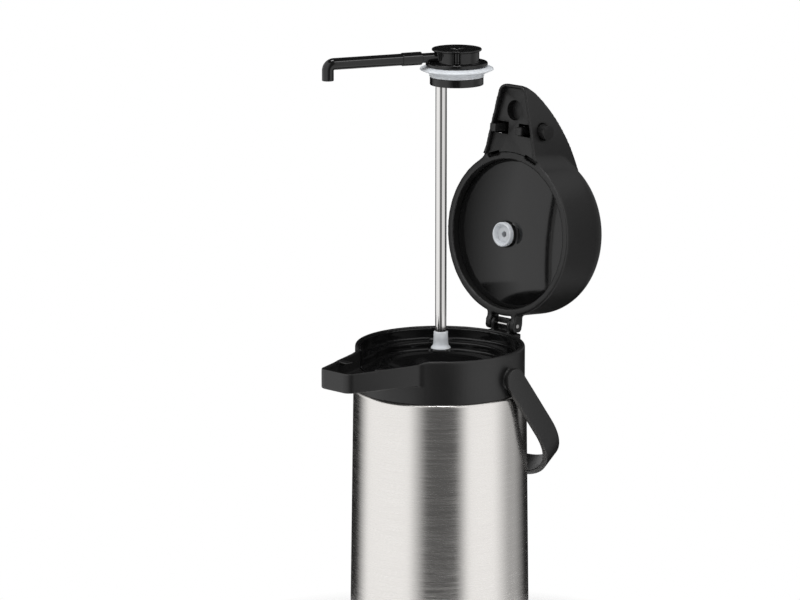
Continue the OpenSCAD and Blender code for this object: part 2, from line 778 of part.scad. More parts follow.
module nose_cover() {
    slot_in = 6.3;
    slot_d = 11.3;
    recess_d = nose_reach - recess_back;
    recess_r = 9.2;
    recess_h = 7.5;
    floor_t = 1.2;
    color(black) swing_lid() translate([0, 0, lid_z + cover_inset]) difference() {
        union() {
            intersection() {
                translate([0, 0, -lid_z - cover_inset]) nose_block(lid_wall + fit_gap, 5);
                translate([-collar_r, -nose_reach, 0]) cube([2 * collar_r, nose_reach, cover_t]);
            }
            translate([0, -recess_d, 0]) cylinder(r = recess_r + floor_t, h = recess_h + floor_t);
        }
        translate([0, 0, -1]) cylinder(r = lid_r + fit_gap, h = cover_t + 2);
        for (s = [0, 1]) mirror([s, 0, 0]) translate([slot_in, -button_d - slot_d / 2, -1])
            cube([collar_r, slot_d, cover_t + 2]);
        translate([0, -recess_d, -1]) cylinder(r = recess_r, h = recess_h + 1);
        translate([0, 0, -lid_z - cover_inset]) rim_slots();
    }
}

// Pump

module pump_base() {
    sag = 5.5;
    rings = 4;
    r = lid_rim_bore - fit_gap;
    under = [for (i = [0 : rings]) [r * i / rings, plate_inset - sag * (1 - pow(i / rings, 2))]];
    boss_low = cap_top_z - socket_rise + run_gap + seal_cup_h - lid_z;
    color(gloss_black) swing_lid() translate([0, 0, lid_z]) difference() {
        union() {
            rotate_extrude() polygon(concat(under, [[r, lid_ledge], [0, lid_ledge]]));
            translate([0, 0, boss_low]) cylinder(r = boss_r, h = plate_inset - boss_low + eps);
        }
        translate([0, 0, boss_low - 1]) cylinder(r = air_r + 1.5, h = lid_h);
    }
}

module nozzle_seal() {
    low = cap_top_z - socket_rise + run_gap;
    cup = 2;
    color(silicone) swing_lid() translate([0, 0, low]) difference() {
        union() {
            rotate_extrude() drum2d(seal_r, seal_cup_h, 1, eps);
            cylinder(r = air_r + 1.5 - fit_gap, h = seal_cup_h + 6);
        }
        translate([0, 0, -1]) cylinder(r = air_r, h = seal_cup_h + 8);
        translate([0, 0, -eps]) cylinder(r1 = seal_r - 1.5, r2 = seal_r - 3.5, h = cup);
    }
}

module bellows() {
    wall = 1;
    depth = 7;
    pitch = bellows_h / bellows_folds;
    outside = [for (i = [0 : bellows_folds]) each [[bellows_r - depth, i * pitch],
        if (i < bellows_folds) [bellows_r, (i + 0.5) * pitch]]];
    inside = [for (i = [len(outside) - 1 : -1 : 0]) outside[i] - [wall * 1.6, 0]];
    color(rubber) swing_lid() translate([0, 0, plate_top_z]) rotate_extrude() polygon(concat(outside, inside));
}

module bellows_ring() {
    ring_h = 3;
    color(black) swing_lid() translate([0, 0, plate_top_z])
        tube(bellows_r + 3.5, bellows_r + run_gap, ring_h);
}

module return_spring() {
    length = bellows_h - spring_wire - 2 * run_gap;
    color(steel) swing_lid() translate([0, 0, plate_top_z + spring_wire / 2 + run_gap])
        coil(spring_r, spring_wire, length, spring_turns);
}

module push_plate() {
    skirt_t = 2.5;
    edge = 2;
    color(black) swing_lid() translate([0, 0, push_top_z - push_t]) difference() {
        union() {
            rotate_extrude() drum2d(push_r, push_t, eps, edge);
            translate([0, 0, push_t - push_skirt]) tube(push_r, push_r - skirt_t, push_skirt - push_t + eps);
        }
        translate([0, 0, push_t - 1.2]) rotate_extrude() translate([push_r - 10, 0]) square([1.5, 2]);
        translate([0, 0, -1]) cylinder(r = air_r, h = push_t - 0.5);
    }
}

module inlet_valve() {
    disc_r = 8;
    disc_t = 1.2;
    color(rubber) swing_lid() translate([0, 0, bellows_top_z - disc_t]) {
        cylinder(r = disc_r, h = disc_t);
        cylinder(r = air_r - fit_gap, h = disc_t + push_t - 2);
    }
}

// Release buttons

module latch_spring() {
    wire = 0.8;
    length = 2 * latch_spring_half - wire;
    color(steel) swing_lid() translate([-length / 2, -button_d, lid_z + button_h]) rotate([0, 90, 0])
        coil(2.6, wire, length, 8);
}

module latch_button(side) {
    outer = nose_half(button_d) + button_proud;
    inner = 8.5;
    bore_r = 3.4;
    bore_end = latch_spring_half + button_travel + 0.5;
    stem_r = 5;
    flange_in = nose_half(button_d) - lid_wall * 3;
    hook_w = 7;
    hook_t = 2.5;
    toe_t = 2;
    toe_end = shelf_in + button_travel - 0.7;
    hook_low = catch_z - lid_z - toe_t - 0.4;
    color(black) swing_lid() translate([0, -button_d, lid_z]) mirror([side < 0 ? 1 : 0, 0, 0]) {
        translate([0, 0, button_h]) difference() {
            union() {
                rod_x(button_r, flange_in, outer);
                rod_x(stem_r, inner, outer - 2);
            }
            rod_x(bore_r, inner - 1, bore_end);
        }
        translate([hook_x + 1.5 - hook_t, -hook_w / 2, hook_low])
            cube([hook_t, hook_w, button_h - stem_r + 1 - hook_low]);
        translate([hook_x, -hook_w / 2, hook_low]) cube([toe_end - hook_x, hook_w, toe_t]);
    }
}

module latch_button_left() { latch_button(-1); }

module latch_button_right() { latch_button(1); }

// Siphon, modelled on its seat's own axis and then drawn up and turned

module draw_siphon() {
    translate([siphon_drift_x, siphon_drift_y, seat_z + siphon_raise]) rotate([0, 0, -siphon_turn]) children();
}

module stopper_gasket() {
    low = -lip_h - band_h;
    color(silicone) draw_siphon() rotate_extrude() polygon([[plug_core_r + fit_gap, low], [band_r, low],
        [band_r, -lip_h - lip_t], [lip_r, -lip_drop - lip_t], [lip_r, -lip_drop - fit_gap],
        [lip_r - 1, -lip_drop - fit_gap],
        [band_r, lip_t - lip_h], [plug_core_r + fit_gap, lip_t - lip_h]]);
}

module stopper_body() {
    groove_low = -lip_h - band_h - fit_gap;
    socket_top = tube_top + fit_gap;
    seal_z = -plug_h + 2;
    dish = 0.8;
    notch_turn = 67;
    color(gloss_black) draw_siphon() difference() {
        union() {
            rotate_extrude() drum2d(flange_r, flange_t, 1, 1.2);
            cylinder(r = drum_r, h = cap_z);
            translate([0, 0, groove_low]) cylinder(r = plug_core_r, h = -groove_low + eps);
            translate([0, 0, -plug_h]) cylinder(r = plug_r, h = plug_h + groove_low);
            translate([0, 0, pipe_z]) rod_out(stub_r, drum_r - 2, sleeve_mid);
        }
        translate([0, 0, flange_t - dish]) tube(flange_r - 2, drum_r + 1.2, dish + 0.5);
        for (a = [-notch_turn, notch_turn, 180]) rotate([0, 0, a]) translate([0, -drum_r, flange_t])
            cylinder(r = notch_r, h = drum_h + 1);
        translate([0, -tube_off, -plug_h - 1]) cylinder(r = tube_r + fit_gap, h = plug_h + 1 + socket_top);
        translate([0, -tube_off, seal_z]) cylinder(r = tube_r + 1.5, h = 2);
        translate([0, -tube_off, -1]) cylinder(r = pipe_bore_r, h = pipe_z + 1);
        translate([0, 0, pipe_z]) rod_out(pipe_bore_r, tube_off, sleeve_mid + 1);
        translate([0, 0, -plug_h - 1]) cylinder(r = air_r, h = plug_h + cap_z + 2);
        translate([0, 0, cap_z - valve_t - run_gap]) cylinder(r = valve_r + run_gap, h = valve_t + 1);
    }
}

module stopper_cap() {
    color(gloss_black) draw_siphon() translate([0, 0, cap_z]) difference() {
        union() {
            rotate_extrude() drum2d(cap_r, cap_t, 0.5, 0.8);
            cylinder(r = socket_r, h = cap_t + socket_rise);
        }
        translate([0, 0, -1]) cylinder(r = air_r + 1.3, h = cap_t + 3);
    }
}

module air_valve() {
    color(silicone) draw_siphon() translate([0, 0, cap_z - valve_t - run_gap])
        tube(valve_r, air_r + 0.2, valve_t);
}

module tube_seal() {
    color(rubber) draw_siphon() translate([0, -tube_off, 2 - plug_h])
        tube(tube_r + 1.5 - fit_gap, tube_r + fit_gap, 2);
}

module dip_tube() {
    low = foot_z + foot_h - tube_in_foot;
    color(steel) draw_siphon() translate([0, -tube_off, low]) tube(tube_r, tube_r - tube_wall, tube_top - low);
}

module tube_foot() {
    step = foot_h - tube_in_foot;
    color(silicone) draw_siphon() translate([0, -tube_off, foot_z]) difference() {
        rotate_extrude() polygon([[0, 0], [foot_flare_r, 0], [foot_flare_r, 0.8], [foot_r, 4],
            [foot_r - 0.4, foot_h], [0, foot_h]]);
        translate([0, 0, step]) cylinder(r = tube_r + fit_gap, h = foot_h);
        translate([0, 0, -1]) cylinder(r = tube_r - tube_wall, h = foot_h);
    }
}

module pipe_sleeve() {
    color(gloss_black) draw_siphon() translate([0, 0, pipe_z]) difference() {
        rod_out(sleeve_r, sleeve_start, sleeve_start + sleeve_len);
        rod_out(stub_r + fit_gap, sleeve_start - 1, sleeve_start + sleeve_len + 1);
    }
}

module outlet_pipe() {
    start = sleeve_start + sleeve_len;
    color(gloss_black) draw_siphon() translate([0, 0, pipe_z]) difference() {
        union() {
            rod_out(stub_r, sleeve_mid + fit_gap, start + 1);
            rod_out(pipe_r, start + fit_gap, pipe_reach);
            translate([0, -pipe_reach, 0]) sphere(r = pipe_r);
            translate([0, -pipe_reach, -pipe_drop]) cylinder(r = pipe_r, h = pipe_drop);
        }
        rod_out(pipe_bore_r, sleeve_mid - 1, pipe_reach);
        translate([0, -pipe_reach, 0]) sphere(r = pipe_bore_r);
        translate([0, -pipe_reach, -pipe_drop - 1]) cylinder(r = pipe_bore_r, h = pipe_drop + 1);
    }
}

outer_shell();
shell_bottom();
inner_liner();
vacuum_getter();
base_cup();
grip_pad();
collar();
collar_funnel();
neck_seal();
hinge_pin();
handle_studs();
handle();
lid_housing();
nose_cover();
pump_base();
nozzle_seal();
bellows();
bellows_ring();
return_spring();
push_plate();
inlet_valve();
latch_spring();
latch_button_left();
latch_button_right();
stopper_gasket();
stopper_body();
stopper_cap();
air_valve();
tube_seal();
dip_tube();
tube_foot();
pipe_sleeve();
outlet_pipe();
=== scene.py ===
"""Looks of a pump vacuum jug: dressed pieces, finishes, floor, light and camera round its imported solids."""

import json
import logging
import math
from dataclasses import dataclass
from enum import Enum

import bpy
from mathutils import Matrix, Vector

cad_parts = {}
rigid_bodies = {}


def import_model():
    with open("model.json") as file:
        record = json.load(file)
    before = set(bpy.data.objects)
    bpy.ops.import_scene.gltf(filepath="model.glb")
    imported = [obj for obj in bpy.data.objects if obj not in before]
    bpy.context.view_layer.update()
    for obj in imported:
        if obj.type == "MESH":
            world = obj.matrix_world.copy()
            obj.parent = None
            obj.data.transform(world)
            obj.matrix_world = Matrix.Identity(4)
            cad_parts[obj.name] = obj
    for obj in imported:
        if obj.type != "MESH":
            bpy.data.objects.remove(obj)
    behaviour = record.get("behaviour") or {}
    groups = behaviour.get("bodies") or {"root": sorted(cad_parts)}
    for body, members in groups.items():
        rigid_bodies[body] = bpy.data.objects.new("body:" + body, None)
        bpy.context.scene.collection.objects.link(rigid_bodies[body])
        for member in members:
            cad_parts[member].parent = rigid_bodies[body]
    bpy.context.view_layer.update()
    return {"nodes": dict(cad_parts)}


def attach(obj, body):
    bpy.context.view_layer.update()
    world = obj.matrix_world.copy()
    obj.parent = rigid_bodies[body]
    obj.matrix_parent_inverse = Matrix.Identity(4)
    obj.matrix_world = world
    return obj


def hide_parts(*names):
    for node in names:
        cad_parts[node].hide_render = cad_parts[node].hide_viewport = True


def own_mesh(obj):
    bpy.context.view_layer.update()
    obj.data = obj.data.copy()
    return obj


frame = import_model()

MM = 0.001
MERGE = 2e-6
EDGE_ANGLE = 35.0
LOG = logging.getLogger("pump_jug")

Profile = list[tuple[float, float]]
Triple = tuple[float, float, float]
Socket = bpy.types.NodeSocket

EVEN: Triple = (1.0, 1.0, 1.0)
WHITE = (1.0, 1.0, 1.0, 1.0)


class Body(Enum):
    """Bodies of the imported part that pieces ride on."""

    JUG = "jug"
    HANDLE = "carry_handle"
    LID = "lid"
    PUMP = "pump_button"
    LEFT_BUTTON = "left_button"
    RIGHT_BUTTON = "right_button"
    GASKET = "gasket"
    SIPHON = "siphon"


class Slot(Enum):
    """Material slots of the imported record."""

    JACKET_STEEL = "jacket_steel"
    INNER_STEEL = "inner_steel"
    MATTE_BLACK = "matte_black"
    GLOSS_BLACK = "gloss_black"
    PALE_SILICONE = "pale_silicone"
    BLACK_RUBBER = "black_rubber"


@dataclass(frozen=True)
class Finish:
    """A surface finish that grows its own procedural node material.

    Args:
        name: Name of the material.
        color: Linear base colour.
        roughness: Middle roughness of the surface.
    """

    name: str
    color: Triple
    roughness: float

    def material(self) -> bpy.types.Material:
        """Gives the finish's material, made on first use.

        Returns:
            The node material.
        """
        found = bpy.data.materials.get(self.name)
        if found is not None:
            return found
        made = bpy.data.materials.new(self.name)
        made.use_nodes = True
        made.diffuse_color = (*self.color, 1.0)
        self.grow(made.node_tree)
        return made

    def grow(self, tree: bpy.types.NodeTree) -> None:
        """Fills the material's node tree.

        Args:
            tree: Node tree with its default shader and output.
        """
        raise NotImplementedError

    @staticmethod
    def shader(tree: bpy.types.NodeTree) -> bpy.types.Node:
        """Finds the tree's main shader.

        Args:
            tree: Node tree of a material.

        Returns:
            The principled shader node.
        """
        return next(node for node in tree.nodes if node.type == "BSDF_PRINCIPLED")

    @staticmethod
    def noise(tree: bpy.types.NodeTree, scale: float, stretch: Triple, detail: float) -> Socket:
        """Adds noise in the piece's own coordinates.

        Args:
            tree: Node tree of a material.
            scale: Noise cells per metre.
            stretch: Factor on each axis.
            detail: Octaves of the noise.

        Returns:
            The noise's factor socket.
        """
        place = tree.nodes.new("ShaderNodeTexCoord")
        mapping = tree.nodes.new("ShaderNodeMapping")
        mapping.inputs["Scale"].default_value = stretch
        texture = tree.nodes.new("ShaderNodeTexNoise")
        texture.inputs["Scale"].default_value = scale
        texture.inputs["Detail"].default_value = detail
        tree.links.new(place.outputs["Object"], mapping.inputs["Vector"])
        tree.links.new(mapping.outputs["Vector"], texture.inputs["Vector"])
        return texture.outputs["Fac"]

    @staticmethod
    def spread(tree: bpy.types.NodeTree, source: Socket, low: float, high: float) -> Socket:
        """Maps noise to a range of values.

        Args:
            tree: Node tree of a material.
            source: Factor socket of a noise.
            low: Value at the noise's low end.
            high: Value at the noise's high end.

        Returns:
            The mapped socket.
        """
        span = tree.nodes.new("ShaderNodeMapRange")
        span.inputs["From Min"].default_value = 0.25
        span.inputs["From Max"].default_value = 0.75
        span.inputs["To Min"].default_value = low
        span.inputs["To Max"].default_value = high
        tree.links.new(source, span.inputs["Value"])
        return span.outputs["Result"]

    def tinted(self, tree: bpy.types.NodeTree, source: Socket, depth: float) -> Socket:
        """Colours noise from a little darker to a little lighter than the base colour.

        Args:
            tree: Node tree of a material.
            source: Factor socket of a noise.
            depth: Share by which the colour changes each way.

        Returns:
            The colour socket.
        """
        ramp = tree.nodes.new("ShaderNodeValToRGB")
        ramp.color_ramp.elements[0].position = 0.3
        ramp.color_ramp.elements[1].position = 0.7
        ramp.color_ramp.elements[0].color = (*[c * (1.0 - depth) for c in self.color], 1.0)
        ramp.color_ramp.elements[1].color = (*[min(1.0, c * (1.0 + depth)) for c in self.color], 1.0)
        tree.links.new(source, ramp.inputs["Fac"])
        return ramp.outputs["Color"]

    def coat(
        self, tree: bpy.types.NodeTree, hue: Socket, tint: float, sheen: Socket, less: float, more: float
    ) -> None:
        """Shifts the shader's colour by one noise and its roughness by another.

        Args:
            tree: Node tree of a material.
            hue: Factor socket of the noise for the colour.
            tint: Share by which the colour changes each way.
            sheen: Factor socket of the noise for the roughness.
            less: Drop of the roughness at the noise's low end.
            more: Rise of the roughness at the noise's high end.
        """
        shader = self.shader(tree)
        tree.links.new(self.tinted(tree, hue, tint), shader.inputs["Base Color"])
        rough = self.spread(tree, sheen, self.roughness - less, self.roughness + more)
        tree.links.new(rough, shader.inputs["Roughness"])

    @staticmethod
    def bump(tree: bpy.types.NodeTree, source: Socket, strength: float, depth: float) -> None:
        """Raises noise as a bump on the shader.

        Args:
            tree: Node tree of a material.
            source: Factor socket of a noise.
            strength: Strength of the bump.
            depth: Height of the bump in metres.
        """
        relief = tree.nodes.new("ShaderNodeBump")
        relief.inputs["Strength"].default_value = strength
        relief.inputs["Distance"].default_value = depth
        tree.links.new(source, relief.inputs["Height"])
        tree.links.new(relief.outputs["Normal"], Finish.shader(tree).inputs["Normal"])


@dataclass(frozen=True)
class BrushedSteel(Finish):
    """Steel brushed in fine lines round the jug.

    Args:
        lines: Lines per metre of height.
        run: Stretch of the lines, which are long across and fine in height.
    """

    lines: float = 1900.0
    run: Triple = (0.014, 0.014, 1.0)

    def grow(self, tree: bpy.types.NodeTree) -> None:
        """Fills the tree with brushed lines and a stretched sheen.

        Args:
            tree: Node tree of the material.
        """
        shader = self.shader(tree)
        shader.inputs["Metallic"].default_value = 1.0
        shader.inputs["Anisotropic"].default_value = 0.3
        shader.inputs["Anisotropic Rotation"].default_value = 0.25
        strokes = self.noise(tree, self.lines, self.run, 3.0)
        self.coat(tree, strokes, 0.04, strokes, 0.1, 0.1)
        self.bump(tree, strokes, 0.016, 0.0001)


@dataclass(frozen=True)
class PolishedSteel(Finish):
    """Drawn and polished steel with faint draw marks."""

    def grow(self, tree: bpy.types.NodeTree) -> None:
        """Fills the tree with draw marks and slightly uneven polish.

        Args:
            tree: Node tree of the material.
        """
        self.shader(tree).inputs["Metallic"].default_value = 1.0
        marks = self.noise(tree, 420.0, (1.0, 1.0, 0.03), 3.0)
        self.coat(tree, marks, 0.03, marks, 0.03, 0.04)
        self.bump(tree, marks, 0.03, 0.00005)


@dataclass(frozen=True)
class GrainedPlastic(Finish):
    """Moulded plastic with a fine spark-eroded grain."""

    def grow(self, tree: bpy.types.NodeTree) -> None:
        """Fills the tree with a fine grain and soft patches of sheen.

        Args:
            tree: Node tree of the material.
        """
        grain = self.noise(tree, 2600.0, EVEN, 3.0)
        patches = self.noise(tree, 26.0, EVEN, 2.0)
        self.coat(tree, grain, 0.12, patches, 0.04, 0.05)
        self.bump(tree, grain, 0.16, 0.00012)


@dataclass(frozen=True)
class GlossPlastic(Finish):
    """Moulded plastic with a polished skin."""

    def grow(self, tree: bpy.types.NodeTree) -> None:
        """Fills the tree with a faint ripple and uneven gloss.

        Args:
            tree: Node tree of the material.
        """
        ripple = self.noise(tree, 90.0, EVEN, 2.0)
        haze = self.noise(tree, 900.0, EVEN, 3.0)
        self.coat(tree, haze, 0.1, haze, 0.03, 0.05)
        self.bump(tree, ripple, 0.04, 0.0004)


@dataclass(frozen=True)
class Silicone(Finish):
    """Soft pale silicone that lets a little light through."""

    def grow(self, tree: bpy.types.NodeTree) -> None:
        """Fills the tree with a milky body and a satin skin.

        Args:
            tree: Node tree of the material.
        """
        shader = self.shader(tree)
        shader.inputs["Subsurface Weight"].default_value = 0.5
        shader.inputs["Subsurface Radius"].default_value = EVEN
        shader.inputs["Subsurface Scale"].default_value = 0.004
        cloud = self.noise(tree, 160.0, EVEN, 3.0)
        skin = self.noise(tree, 1800.0, EVEN, 2.0)
        self.coat(tree, cloud, 0.06, cloud, 0.05, 0.05)
        self.bump(tree, skin, 0.06, 0.00008)


@dataclass(frozen=True)
class Rubber(Finish):
    """Dull black rubber."""

    def grow(self, tree: bpy.types.NodeTree) -> None:
        """Fills the tree with a dull, uneven skin.

        Args:
            tree: Node tree of the material.
        """
        dust = self.noise(tree, 300.0, EVEN, 4.0)
        self.coat(tree, dust, 0.2, dust, 0.08, 0.08)
        self.bump(tree, dust, 0.12, 0.0002)


@dataclass(frozen=True)
class Palette:
    """The finishes of the jug, one for each material slot.

    Args:
        jacket: Finish of the jacket.
        inner: Finish of the other steel pieces.
        matte: Finish of the grained mouldings.
        gloss: Finish of the polished mouldings.
        silicone: Finish of the pale soft pieces.
        rubber: Finish of the black soft pieces.
    """

    jacket: Finish = BrushedSteel("brushed_jacket", (0.80, 0.777, 0.752), 0.24)
    inner: Finish = PolishedSteel("polished_inner_steel", (0.78, 0.77, 0.76), 0.1)
    matte: Finish = GrainedPlastic("grained_black_moulding", (0.0072, 0.007, 0.0071), 0.38)
    gloss: Finish = GlossPlastic("polished_black_moulding", (0.005, 0.005, 0.0051), 0.07)
    silicone: Finish = Silicone("pale_silicone_skin", (0.63, 0.655, 0.685), 0.4)
    rubber: Finish = Rubber("dull_black_rubber", (0.009, 0.009, 0.009), 0.7)

    def by_slot(self, slot: Slot) -> Finish:
        """Finds the finish of a material slot.

        Args:
            slot: Material slot of the record.

        Returns:
            The slot's finish.
        """
        return {
            Slot.JACKET_STEEL: self.jacket,
            Slot.INNER_STEEL: self.inner,
            Slot.MATTE_BLACK: self.matte,
            Slot.GLOSS_BLACK: self.gloss,
            Slot.PALE_SILICONE: self.silicone,
            Slot.BLACK_RUBBER: self.rubber,
        }[slot]


def arc(cx: float, cy: float, r: float, start: float, end: float, steps: int) -> Profile:
    """Gives points on an arc of a profile.

    Args:
        cx: Radius of the arc's centre from the turning axis.
        cy: Height of the arc's centre.
        r: Radius of the arc.
        start: First angle in degrees.
        end: Last angle in degrees.
        steps: Number of steps along the arc.

    Returns:
        The points, both ends included.
    """
    angles = [math.radians(start + (end - start) * i / steps) for i in range(steps + 1)]
    return [(cx + r * math.cos(a), cy + r * math.sin(a)) for a in angles]


class Bench:
    """Bench tools that shape one piece at a time with the modelling operators."""

    @staticmethod
    def clear() -> None:
        """Leaves edit mode and deselects everything."""
        if bpy.context.object is not None and bpy.context.object.mode != "OBJECT":
            bpy.ops.object.mode_set(mode="OBJECT")
        bpy.ops.object.select_all(action="DESELECT")

    @classmethod
    def pick(cls, piece: bpy.types.Object) -> None:
        """Selects one piece alone.

        Args:
            piece: Piece to select.
        """
        cls.clear()
        piece.select_set(True)
        bpy.context.view_layer.objects.active = piece

    @classmethod
    def open(cls, piece: bpy.types.Object) -> None:
        """Opens a piece in edit mode with all of its mesh selected.

        Args:
            piece: Piece to edit.
        """
        cls.pick(piece)
        bpy.ops.object.mode_set(mode="EDIT")
        bpy.ops.mesh.select_all(action="SELECT")

    @classmethod
    def turned(cls, name: str, profile: Profile, steps: int = 128) -> bpy.types.Object:
        """Turns a closed profile about the Z axis.

        Args:
            name: Name of the piece.
            profile: Radius and height of each corner, in millimetres.
            steps: Steps round the axis.

        Returns:
            The turned piece.
        """
        cls.clear()
        r, z = profile[0]
        bpy.ops.mesh.primitive_plane_add(size=MM, location=(r * MM, 0.0, z * MM))
        piece = bpy.context.active_object
        piece.name = name
        piece.data.name = name
        bpy.ops.object.transform_apply(location=True, rotation=True, scale=True)
        bpy.ops.object.mode_set(mode="EDIT")
        bpy.ops.mesh.select_all(action="SELECT")
        bpy.ops.mesh.merge(type="CENTER")
        for (r0, z0), (r1, z1) in zip(profile, profile[1:] + profile[:1]):
            step = ((r1 - r0) * MM, 0.0, (z1 - z0) * MM)
            bpy.ops.mesh.extrude_region_move(TRANSFORM_OT_translate={"value": step})
        bpy.ops.mesh.select_all(action="SELECT")
        bpy.ops.mesh.spin(steps=steps, angle=math.tau, center=(0.0, 0.0, 0.0), axis=(0.0, 0.0, 1.0))
        bpy.ops.mesh.select_all(action="SELECT")
        bpy.ops.mesh.remove_doubles(threshold=MERGE)
        bpy.ops.mesh.normals_make_consistent(inside=False)
        bpy.ops.object.mode_set(mode="OBJECT")
        return piece

    @classmethod
    def copy_of(cls, node: str, name: str) -> bpy.types.Object:
        """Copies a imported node's mesh as a new piece and merges its split corners.

        Args:
            node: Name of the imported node.
            name: Name of the new piece.

        Returns:
            The new piece.
        """
        cls.pick(frame["nodes"][node])
        bpy.ops.object.duplicate()
        piece = bpy.context.active_object
        bpy.ops.object.parent_clear(type="CLEAR_KEEP_TRANSFORM")
        for key in list(piece.keys()):
            del piece[key]
        piece.name = name
        piece.data.name = name
        bpy.ops.mesh.customdata_custom_splitnormals_clear()
        cls.open(piece)
        bpy.ops.mesh.remove_doubles(threshold=MERGE)
        bpy.ops.mesh.normals_make_consistent(inside=False)
        bpy.ops.object.mode_set(mode="OBJECT")
        return piece

    @classmethod
    def apply(cls, piece: bpy.types.Object) -> None:
        """Applies every modifier of a piece in order.

        Args:
            piece: Piece with modifiers.
        """
        cls.pick(piece)
        for modifier in list(piece.modifiers):
            bpy.ops.object.modifier_apply(modifier=modifier.name)

    @classmethod
    def remeshed(cls, piece: bpy.types.Object, cell: float, rounds: int, limit: int = 180000) -> None:
        """Remeshes a piece evenly and rounds its edges.

        Args:
            piece: Piece to remesh.
            cell: Size of a mesh cell in millimetres.
            rounds: Rounds of smoothing.
            limit: Most triangles that the piece keeps.
        """
        even = piece.modifiers.new("even", "REMESH")
        even.mode = "VOXEL"
        even.voxel_size = cell * MM
        cls.apply(piece)
        soft = piece.modifiers.new("soft", "SMOOTH")
        soft.factor = 0.5
        soft.iterations = rounds
        cls.apply(piece)
        triangles = sum(len(face.vertices) - 2 for face in piece.data.polygons)
        if triangles > limit:
            fewer = piece.modifiers.new("fewer", "DECIMATE")
            fewer.ratio = limit / triangles
            cls.apply(piece)
        cls.pick(piece)
        bpy.ops.object.shade_smooth()

    @classmethod
    def bevelled(cls, piece: bpy.types.Object, width: float, segments: int = 3, corner: float = 32.0) -> None:
        """Rounds a piece's sharp edges.

        Args:
            piece: Piece to round.
            width: Width of the rounding in millimetres.
            segments: Segments across the rounding.
            corner: Least angle of an edge that is rounded, in degrees.
        """
        cls.open(piece)
        bpy.ops.mesh.dissolve_limited(angle_limit=math.radians(0.6))
        bpy.ops.object.mode_set(mode="OBJECT")
        edge = piece.modifiers.new("edge", "BEVEL")
        edge.width = width * MM
        edge.segments = segments
        edge.limit_method = "ANGLE"
        edge.angle_limit = math.radians(corner)
        edge.use_clamp_overlap = True
        cls.apply(piece)
        cls.smooth(piece)

    @classmethod
    def smooth(cls, piece: bpy.types.Object, corner: float = EDGE_ANGLE) -> None:
        """Shades a piece smoothly but for its sharp edges.

        Args:
            piece: Piece to shade.
            corner: Least angle of an edge that stays sharp, in degrees.
        """
        cls.pick(piece)
        bpy.ops.object.shade_smooth_by_angle(angle=math.radians(corner))

    @classmethod
    def placed(cls, piece: bpy.types.Object, place: Matrix) -> None:
        """Moves a piece to its place and applies the move to its mesh.

        Args:
            piece: Piece to move.
            place: Place in the part's frame.
        """
        cls.pick(piece)
        piece.matrix_world = place
        bpy.ops.object.transform_apply(location=True, rotation=True, scale=True)

    @classmethod
    def fitted(
        cls, name: str, profile: Profile, steps: int, place: Matrix, corner: float = EDGE_ANGLE
    ) -> bpy.types.Object:
        """Turns a closed profile, shades it and moves it to its place.

        Args:
            name: Name of the piece.
            profile: Radius and height of each corner, in millimetres.
            steps: Steps round the axis.
            place: Place of the turning axis in the part's frame.
            corner: Least angle of an edge that stays sharp, in degrees.

        Returns:
            The finished piece.
        """
        piece = cls.turned(name, profile, steps)
        cls.smooth(piece, corner)
        cls.placed(piece, place)
        return piece

    @classmethod
    def settle(cls, piece: bpy.types.Object, body: Body, slot: Slot, palette: Palette, *nodes: str) -> None:
        """Dresses a piece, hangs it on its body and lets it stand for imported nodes.

        Args:
            piece: Finished piece.
            body: Body that the piece rides on.
            slot: Material slot of the piece.
            palette: Finishes of the jug.
            nodes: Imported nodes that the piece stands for.
        """
        piece.data.materials.clear()
        piece.data.materials.append(palette.by_slot(slot).material())
        for face in piece.data.polygons:
            face.material_index = 0
        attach(piece, body.value)
        if nodes:
            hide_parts(*nodes)
        LOG.info("%s: %d faces on %s", piece.name, len(piece.data.polygons), body.value)

    @staticmethod
    def dress_node(node: str, slot: Slot, palette: Palette) -> None:
        """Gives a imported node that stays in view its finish.

        Args:
            node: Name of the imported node.
            slot: Material slot of the node.
            palette: Finishes of the jug.
        """
        mesh = frame["nodes"][node].data
        mesh.materials.clear()
        mesh.materials.append(palette.by_slot(slot).material())
        LOG.info("%s: packed solid, dressed", node)


